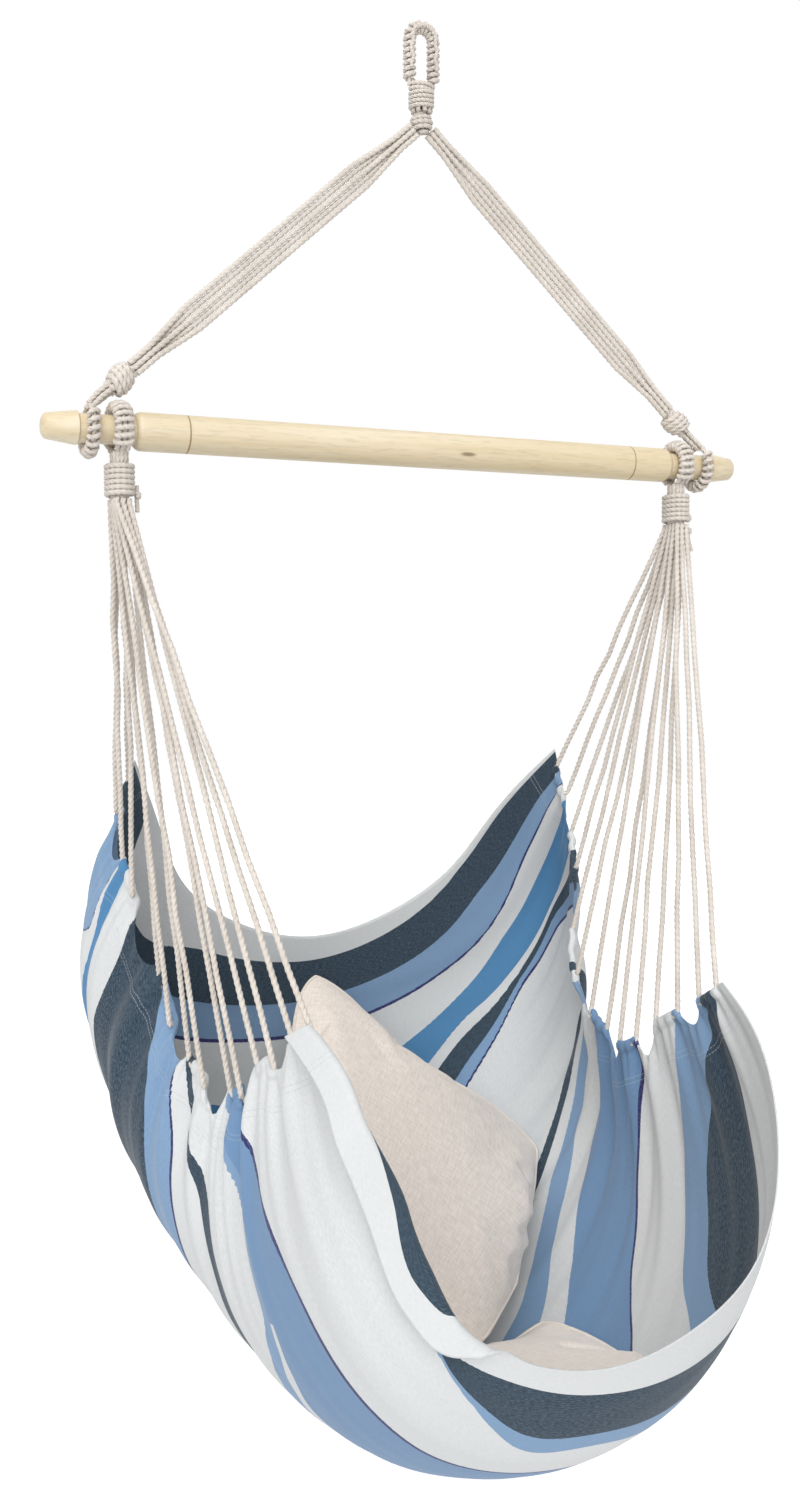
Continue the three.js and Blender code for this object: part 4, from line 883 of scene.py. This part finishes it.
bound = {
    # thickness and lay of each cord
    "winding": (0.0056, 0.016),
    "ridge": (0.0046, 0.012),
    "eyeCore": (0.0050, 0.014),
    "neckStrands": (0.0058, 0.018),
    "neckWinding": (0.0050, 0.014),
    "throat": (0.0054, 0.016),
    "ringStrands": (0.0060, 0.020),
    "whipping": (0.0062, 0.017),
    "knot": (0.0078, 0.022),
    "looseEnd": (0.0052, 0.014),
    # half the width of what each winding goes round, towards the middle of its bend and across
    "eyeRound": (0.0050, 0.0050),
    "neckRound": (0.0125, 0.0112),
    "seatRound": (0.0050, 0.0086),
    "bridleRound": (0.0050, 0.0050),
    "whippingRound": (0.0162, 0.0130),
    "knotRound": (0.0118, 0.0118),
    "knotCoreRound": (0.0052, 0.0052),
    "tailRound": (0.0022, 0.0022),
    "throatRound": (0.0125, 0.0095),
    "eyeHalfWidth": 0.0145,
    "eyeArcDrop": 0.0065,
    "eyeLegEnd": 0.0500,
    "eyeTurns": 20,
    "ridgeAt": 0.0078,  # in front of the middle of the legs
    "ridgeWaver": 0.0015,
    "throatAt": 0.0565,
    "throatRise": 0.0052,  # of one turn
    "neckTop": 0.0622,
    "neckBottom": 0.0810,
    "neckTurns": 4,
    "neckStrandCount": 8,
    "neckStrandRing": 0.0072,
    "neckStrandsAt": (0.0596, 0.0720, 0.0850),  # top, middle and foot, below the origin
    "neckSplay": 1.35,  # of their feet
    "ballTurns": 4.5,
    "ringRadius": 0.02347,
    "bare": 48,  # degrees to each side of a stem where a loop isn't wound
    "seatCordBare": 30,  # and where its core cords end
    "bridleCordBare": 10,
    "seatEyeAt": 0.345,
    "bridleEyeAt": 0.376,
    "seatTurns": 16,
    "bridleTurns": 14,
    "stemTop": 0.024,  # below the bar's axis
    "stemEnd": 0.0698,
    "stemStrands": 12,
    "stemRing": (0.0068, 0.0098),
    "ringSpacing": 0.0055,  # of the three cords of a seat eye
    "bindingTop": 0.0345,
    "bindingFoot": 0.0028,  # above the stem's end
    "bindingTurns": 6,
    "knotHead": 0.0125,  # half lengths of a bridle knot: to its foot cords, its turns and its core
    "knotTurnsHalf": 0.0115,
    "knotCoreHalf": 0.0165,
    "knotCords": 0.0042,  # its four foot cords, from its middle
    "knotSpread": (0.010, 0.004),  # of their feet over the ring, forwards and downwards
    "knotTurns": 4,
    "tailInset": (0.0034, 0.0032),  # of a loose end from the sides and ends of its CAD box
    "tailKnotHalf": 0.0018,
}


def spun(path, inwards, semiIn, semiAcross, turns, swell=None, lean=0.0, start=0.0, steps=20):
    # so many turns of a helix round a path, whose section is an ellipse
    path, inwards = np.asarray(path, float), np.asarray(inwards, float)
    run = lengthsAlong(path)
    place = np.linspace(0, run[-1], max(int(turns * steps), 12) + 1)
    point, inward = (np.stack([np.interp(place, run, line) for line in lines.T], axis=1)
                     for lines in (path, inwards))
    tangent = unit(np.gradient(point, axis=0))
    inward = unit(inward - tangent * (inward * tangent).sum(axis=1, keepdims=True))
    across = np.cross(tangent, inward)
    angle = start + 2 * np.pi * turns * place / run[-1]
    size = np.ones(len(place)) if swell is None else swell(place / run[-1])
    return point + inward * (np.cos(angle) * semiIn * size)[:, None] \
        + across * (np.sin(angle) * semiAcross * size)[:, None] + tangent * (lean * np.sin(angle))[:, None]


def straight(start, end, inward, count=9):
    # a path and its inward directions, as spun takes them
    shares = np.linspace(0, 1, count)[:, None]
    return np.asarray(start) * (1 - shares) + np.asarray(end) * shares, np.repeat([inward], count, axis=0)


def makeEye():
    half, drop, foot = bound["eyeHalfWidth"], bound["eyeArcDrop"], bound["eyeLegEnd"]
    angles = np.linspace(math.pi, 0, 33)
    arc = np.stack([half * np.cos(angles), 0 * angles, half * np.sin(angles) - drop], axis=1)
    arcIn = np.stack([-np.cos(angles), 0 * angles, -np.sin(angles)], axis=1)
    up, upIn = straight((-half, 0, -foot), (-half, 0, -drop), (1, 0, 0))
    down, downIn = straight((half, 0, -drop), (half, 0, -foot), (-1, 0, 0))
    path = np.concatenate([up[:-1], arc, down[1:]])
    inwards = np.concatenate([upIn[:-1], arcIn, downIn[1:]])
    winding = spun(path, inwards, *bound["eyeRound"], bound["eyeTurns"])
    ropeAlong("eye_winding", winding, "eye", ["eye_serving"], *bound["winding"])
    # the ends of the turns are caught under a cord that runs up the front of each leg
    waver = bound["ridgeWaver"] * np.sin(np.arange(len(path)) * 1.9)
    ridge = path + np.array([0, -bound["ridgeAt"], 0]) + inwards * waver[:, None]
    ropeAlong("eye_ridge", ridge[2:-2], "eye", (), *bound["ridge"])
    # two turns draw the legs together at the throat
    throat = np.linspace(0, 4 * math.pi, 49)
    wide, deep = bound["throatRound"]
    turn = np.stack([wide * np.cos(throat), deep * np.sin(throat),
                     -bound["throatAt"] + bound["throatRise"] * (1 - throat / (2 * math.pi))], axis=1)
    core = np.concatenate([[(-half, 0, -bound["throatAt"])], path, [(half, 0, -bound["throatAt"])]])
    ropeAlong("eye_core", [core, turn], "eye", ["hanging_eye"], *bound["eyeCore"])


def makeNeck():
    strands = []
    ring, splay = bound["neckStrandRing"], bound["neckSplay"]
    top, middle, foot = bound["neckStrandsAt"]
    for k in range(bound["neckStrandCount"]):
        angle = k * 2 * math.pi / bound["neckStrandCount"]
        x, y = ring * math.cos(angle), ring * math.sin(angle)
        strands.append([(x, y, -top), (x, y, -middle), (x * splay, y * splay, -foot)])
    ropeAlong("neck_strands", strands, "neck", ["neck_core"], *bound["neckStrands"])
    path, inwards = straight((0, 0, -bound["neckTop"]), (0, 0, -bound["neckBottom"]), (1, 0, 0))
    winding = spun(path, inwards, *bound["neckRound"], bound["neckTurns"], lean=0.0008)
    ropeAlong("neck_winding", winding, "neck", ["neck_binding"], *bound["neckWinding"])
    reach = bridle["ballRadius"] - bound["throat"][0] / 2
    middle = bridle["swing"][2]
    path, inwards = straight((0, 0, middle + reach), (0, 0, middle - reach), (1, 0, 0), 25)
    turns = spun(path, inwards, reach, reach, bound["ballTurns"],
                 lambda v: np.sqrt(np.clip(1 - (2 * v - 1) ** 2, 0.01, 1)))
    ropeAlong("throat_turns", turns, "ball", ["throat_ball"], *bound["throat"])


def ringPath(centre, bare, sign):
    # round the bar but for some degrees to each side of the stem, which goes up or down by the sign
    angles = np.radians(np.linspace(bare, 360 - bare, 49))
    spokes = np.stack([0 * angles, np.sin(angles), sign * np.cos(angles)], axis=1)
    return np.asarray(centre) + bound["ringRadius"] * spokes, -spokes


def makeSeatEye(side, name):
    centre = (side * bound["seatEyeAt"], 0, -seat["barDrop"])
    winding = spun(*ringPath(centre, bound["bare"], -1), *bound["seatRound"], bound["seatTurns"])
    ropeAlong(f"{name}_seat_eye_winding", winding, "seat", [f"{name}_seat_eye_serving"], *bound["winding"])
    strands = [ringPath((centre[0] + k * bound["ringSpacing"], 0, centre[2]), bound["seatCordBare"], -1)[0]
               for k in (-1, 0, 1)]
    wide, deep = bound["stemRing"]
    for k in range(bound["stemStrands"]):
        angle = k * 2 * math.pi / bound["stemStrands"]
        x, y = centre[0] + wide * math.cos(angle), deep * math.sin(angle)
        strands.append([(x, y, centre[2] - bound["stemTop"] + 0.004 * abs(math.sin(angle))),
                        (x, y, centre[2] - bound["stemEnd"])])
    ropeAlong(f"{name}_seat_eye_strands", strands, "seat", [f"{name}_seat_eye"], *bound["ringStrands"])
    head = (centre[0], 0, centre[2] - bound["bindingTop"])
    foot = (centre[0], 0, centre[2] - bound["stemEnd"] + bound["bindingFoot"])
    binding = spun(*straight(head, foot, (0, 1, 0)), *bound["whippingRound"], bound["bindingTurns"], lean=0.001)
    ropeAlong(f"{name}_seat_whipping", binding, "seat", [f"{name}_seat_binding"], *bound["whipping"])


def makeBridleEye(side, name):
    centre = np.array((side * bound["bridleEyeAt"], 0, -seat["barDrop"]))
    winding = spun(*ringPath(centre, bound["bare"], 1), *bound["bridleRound"], bound["bridleTurns"])
    ropeAlong(f"{name}_bridle_eye_winding", winding, "bridle", [f"{name}_bridle_eye_serving"],
              *bound["winding"])
    knot = np.array((side * bridle["knotAt"][0], 0, bridle["knotAt"][2]))
    pull = unit(np.array(bridle["swing"]) - knot)
    foot = centre + np.array((0, 0, bound["ringRadius"] + 0.001))
    head = knot - pull * bound["knotHead"]
    forwards, downwards = bound["knotSpread"]
    strands = [ringPath(centre, bound["bridleCordBare"], 1)[0]]
    for k in range(4):
        angle = k * math.pi / 2 + 0.4
        offset = np.array((math.cos(angle) * pull[2], math.sin(angle), -math.cos(angle) * pull[0]))
        offset = offset * bound["knotCords"]
        splay = np.array((0, forwards * math.sin(angle), -downwards * abs(math.sin(angle))))
        strands.append([foot + offset * 0.6 + splay, (foot + head) / 2 + offset, head + offset])
    ropeAlong(f"{name}_bridle_eye_strands", strands, "bridle", [f"{name}_bridle_eye"], *bound["ringStrands"])
    # four leaning turns over a core of the cords themselves
    half = pull * bound["knotTurnsHalf"]
    path, inwards = straight(knot - half, knot + half, (0, 1, 0))
    runs = [spun(path, inwards, *bound["knotRound"], bound["knotTurns"],
                 lambda v: 0.70 + 0.30 * np.sin(np.pi * v), lean=0.0035)]
    half = pull * bound["knotCoreHalf"]
    path, inwards = straight(knot - half, knot + half, (0, 1, 0))
    runs += [spun(path, inwards, *bound["knotCoreRound"], 0.5, start=k * math.pi / 2) for k in range(4)]
    ropeAlong(f"{name}_bridle_turns", runs, "bridle", [f"{name}_bridle_knot"], *bound["knot"])


def makeTails():
    # each loose end bends from side to side within its CAD box, with a small knot on it
    for name, knob in (("left_seat_tail", 0.35), ("right_seat_tail", 0.5), ("right_seat_long_tail", 0.12)):
        low, high = (np.array(corner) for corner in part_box(name))
        middle = (low[0] + high[0]) / 2
        side, end = bound["tailInset"]
        swing = (high[0] - low[0]) / 2 - side
        top, foot = high[2] - end, low[2] + end
        run = [(middle - swing, 0, top), (middle - swing * 0.4, 0.001, (top + foot) / 2),
               (middle + swing, 0, foot)]
        at = np.array(run[0]) * (1 - knob) + np.array(run[2]) * knob
        half = np.array((0, 0, bound["tailKnotHalf"]))
        knot = spun(*straight(at + half, at - half, (0, 1, 0)), *bound["tailRound"], 1.6, lean=0.0009)
        ropeAlong(name.replace("tail", "loose_end"), [run, knot], "seat", [name], *bound["looseEnd"])


makeEye()
makeNeck()
for side, name in ((-1, "left"), (1, "right")):
    makeSeatEye(side, name)
    makeBridleEye(side, name)
makeTails()
print("windings, knots and tails ready")

cushions = {
    "seat": {
        "middle": (0, -.42, .94), "sides": ((1, -.03, 0), (.03, 1, 0)), "side": 0.365, "depth": 0.088,
        # how far it bends up at its sides, tilts and lifts at each corner, and the way it is laid down
        "across": 0.046, "along": 0.022, "tilt": -0.034, "corners": (0.004, -0.014, 0, -0.046),
        "rise": (0, 0, 1),
    },
    "back": {
        "middle": (-.005, .25, .755), "sides": ((-.602, -.642, -.473), (.723, -.19, -.663)), "side": 0.380,
        "depth": 0.114,
        "across": 0, "along": 0, "tilt": 0, "corners": (0, 0, 0.025, 0.060), "rise": (0, -.5, .87),
        # the outline of its lower right side, as shares of half its width: place along it, and distance out
        "outline": [(-1, .92), (-.9, 1.04), (-.66, 1.10), (-.26, 1.17),
                    (.18, 1.16), (.74, .98), (.94, .88), (1, .84)],
    },
    "steps": 64,
    "spare": 1.04,  # how much wider the cover is cut than it measures when full
    "apart": 0.012,  # of each flat panel's middle from the seam's plane, before it swells
    "cornerRound": 0.075,
    "bulge": 0.035,  # of the sides of the cover, which the swelling then draws in
    # the quick form, without the simulation: how far its sides draw in, and the power of its crown
    "pull": 0.06,
    "crown": 0.42,
    "pressure": 3.5,
    "frames": 26,
    # the cover's cloth, as the simulation takes it
    "cloth": {
        "quality": 6, "mass": 0.25, "tension_stiffness": 18, "compression_stiffness": 18, "shear_stiffness": 6,
        "bending_stiffness": 1.2, "use_pressure": True,
    },
    "piping": (0.0046, 0.012, 0.1),  # thickness, lay and groove: a rolled seam, nearly round
    "rest": 0.002,  # above the lowest point of the CAD cushion
    "clearance": 0.003,  # from the middle of the seat cloth
    "coverRoom": 1.4,  # of its height, which the pressed side keeps from the cloth
    "seamIn": 0.006,  # share of the way to the middle, where the piping lies
}


def flatCover(side):
    # two square panels joined round their rounded outline, just apart: points and faces, and for each point
    # its flat place in metres and as shares from -1 to 1
    n = cushions["steps"]
    line = np.linspace(-1, 1, n + 1)
    s, t = np.meshgrid(line, line)
    half = side / 2 * cushions["spare"]
    tip = 1 - cushions["cornerRound"] * (s * t) ** 4
    x = half * s * tip * (1 + cushions["bulge"] * (1 - t ** 2))
    y = half * t * tip * (1 + cushions["bulge"] * (1 - s ** 2))
    lift = cushions["apart"] * np.maximum((1 - s ** 2) * (1 - t ** 2), 0) ** 0.5
    count = (n + 1) ** 2
    index = np.arange(count).reshape(n + 1, n + 1)
    under = index + count
    for edge in (np.s_[0, :], np.s_[-1, :], np.s_[:, 0], np.s_[:, -1]):
        under[edge] = index[edge]
    quads = [np.stack([ix[:-1, :-1], ix[:-1, 1:], ix[1:, 1:], ix[1:, :-1]], axis=-1).reshape(-1, 4)
             for ix in (index, under)]
    faces = np.concatenate([quads[0], quads[1][:, ::-1]])
    points = np.concatenate([np.stack([x, y, z], axis=-1).reshape(-1, 3) for z in (lift, -lift)])
    used = np.unique(faces)
    lookup = np.zeros(len(points), int)
    lookup[used] = np.arange(len(used))
    shares = np.stack([s, t], axis=-1).reshape(-1, 2)
    return points[used], lookup[faces], points[used, :2], shares[used % count]


def blownUp(name, points, faces):
    # the cover swells under Blender's cloth pressure, so its seams pull in and its edges wrinkle
    cover = bpy.data.objects.new(name, meshFrom(name, points, faces.tolist()))
    scene.collection.objects.link(cover)
    cloth = cover.modifiers.new("cloth", "CLOTH")
    for key, value in cushions["cloth"].items():
        setattr(cloth.settings, key, value)
    cloth.settings.uniform_pressure_force = cushions["pressure"]
    cloth.settings.effector_weights.gravity = 0
    cloth.point_cache.frame_start = 1
    cloth.point_cache.frame_end = cushions["frames"]
    for k in range(1, cushions["frames"] + 1):
        scene.frame_set(k)
    graph = bpy.context.evaluated_depsgraph_get()
    shape = np.zeros(len(points) * 3)
    cover.evaluated_get(graph).data.vertices.foreach_get("co", shape)
    bpy.data.objects.remove(cover)
    scene.frame_set(1)
    return shape.reshape(-1, 3)


def keptInside(points, thickness, normal):
    # a cushion pressed against the seat cloth takes its shape: points outside it are moved in
    cloth = seatGrid[:-seat["rimRows"]].reshape(-1, 3)
    outwards = surfaceNormals(seatGrid)[:-seat["rimRows"]].reshape(-1, 3)
    tree = KDTree(len(cloth))
    for k, place in enumerate(cloth):
        tree.insert(place, k)
    tree.balance()
    facing = np.sign(outwards[tree.find(points.mean(axis=0))[1]] @ normal)
    kept = points.copy()
    for k, point in enumerate(points):
        near = tree.find(point)[1]
        depth = (point - cloth[near]) @ outwards[near] + cushions["clearance"] \
            + (cushions["coverRoom"] * abs(thickness[k]) if thickness[k] * facing < 0 else 0)
        if depth > 0:
            kept[k] -= outwards[near] * depth
    return kept


def makeCushion(kind, name, finish):
    facts = cushions[kind]
    first, second = (Vector(v).normalized() for v in facts["sides"])
    normal = np.array(first.cross(second).normalized())
    first, second = np.array(first), np.array(second)
    points, faces, flat, shares = flatCover(facts["side"])
    half = facts["side"] / 2
    shape = blownUp(name, points, faces)
    print(name, "swelled to", np.round(np.ptp(shape, axis=0), 3))
    shape[:, :2] *= facts["side"] / np.ptp(shape, axis=0)[:2]
    shape[:, 2] *= facts["depth"] / np.ptp(shape[:, 2])
    s, t = np.clip(shape[:, 0] / half, -1, 1), np.clip(shape[:, 1] / half, -1, 1)
    if "outline" in facts:
        edge = np.flatnonzero((shares[:, 1] > 1 - 1e-9) & (np.abs(shares[:, 0]) < 0.97))
        edge = edge[np.argsort(s[edge])]
        wanted = np.interp(s, *np.array(facts["outline"]).T) / np.interp(s, s[edge], shape[edge, 1] / half)
        shape[:, 1] *= 1 + (wanted - 1) * np.clip(t, 0, 1)
        t = np.clip(shape[:, 1] / half, -1, 1)
    bend = sum(height * (((1 + right * s) * (1 + far * t)) / 4) ** 2
               for height, (right, far) in zip(facts["corners"], ((-1, -1), (1, -1), (-1, 1), (1, 1))))
    height = facts["across"] * s ** 2 + facts["along"] * t ** 2 + facts["tilt"] * t + bend
    placed = np.array(placeOf(facts["middle"])) + shape[:, :1] * first + shape[:, 1:2] * second \
        + (height + shape[:, 2])[:, None] * normal
    # let down to where the CAD cushion lies
    low = np.minimum(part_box(f"{kind}_cushion_front_panel")[0][2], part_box(f"{kind}_cushion_rear_panel")[0][2])
    rise = unit(np.array(facts["rise"]))
    placed = placed + rise * (low + cushions["rest"] - placed[:, 2].min()) / rise[2]
    placed = keptInside(placed, shape[:, 2], normal)
    border = np.flatnonzero(np.abs(np.abs(shares).max(axis=1) - 1) < 1e-9)
    border = border[np.argsort(np.arctan2(shares[border, 1], shares[border, 0]))]
    seam = placed[np.append(border, border[0])]
    seam = seam + (placed.mean(axis=0) - seam) * cushions["seamIn"]
    ropeAlong(name + "_piping", seam, f"{kind}_cushion", (), *cushions["piping"], finish, "linen")
    mesh = meshFrom(name, placed, faces.tolist(), finish)
    addUv(mesh, "panel", flat)
    parts = [f"{kind}_cushion_{part}" for part in ("front_panel", "rear_panel", "filling")]
    piece = linkObject(name, mesh, f"{kind}_cushion", parts)
    smooth = piece.modifiers.new("smooth", "SUBSURF")
    smooth.levels = smooth.render_levels = 1


makeCushion("seat", "linen_seat_cushion", warmLinen)
makeCushion("back", "linen_back_cushion", linen)
print("cushions ready")

# a CAD node that no piece replaces gets its finish too
for name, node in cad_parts.items():
    finish = beech if name == "spreader_bar" else cotton
    for k in range(len(node.material_slots)):
        node.material_slots[k].material = finish
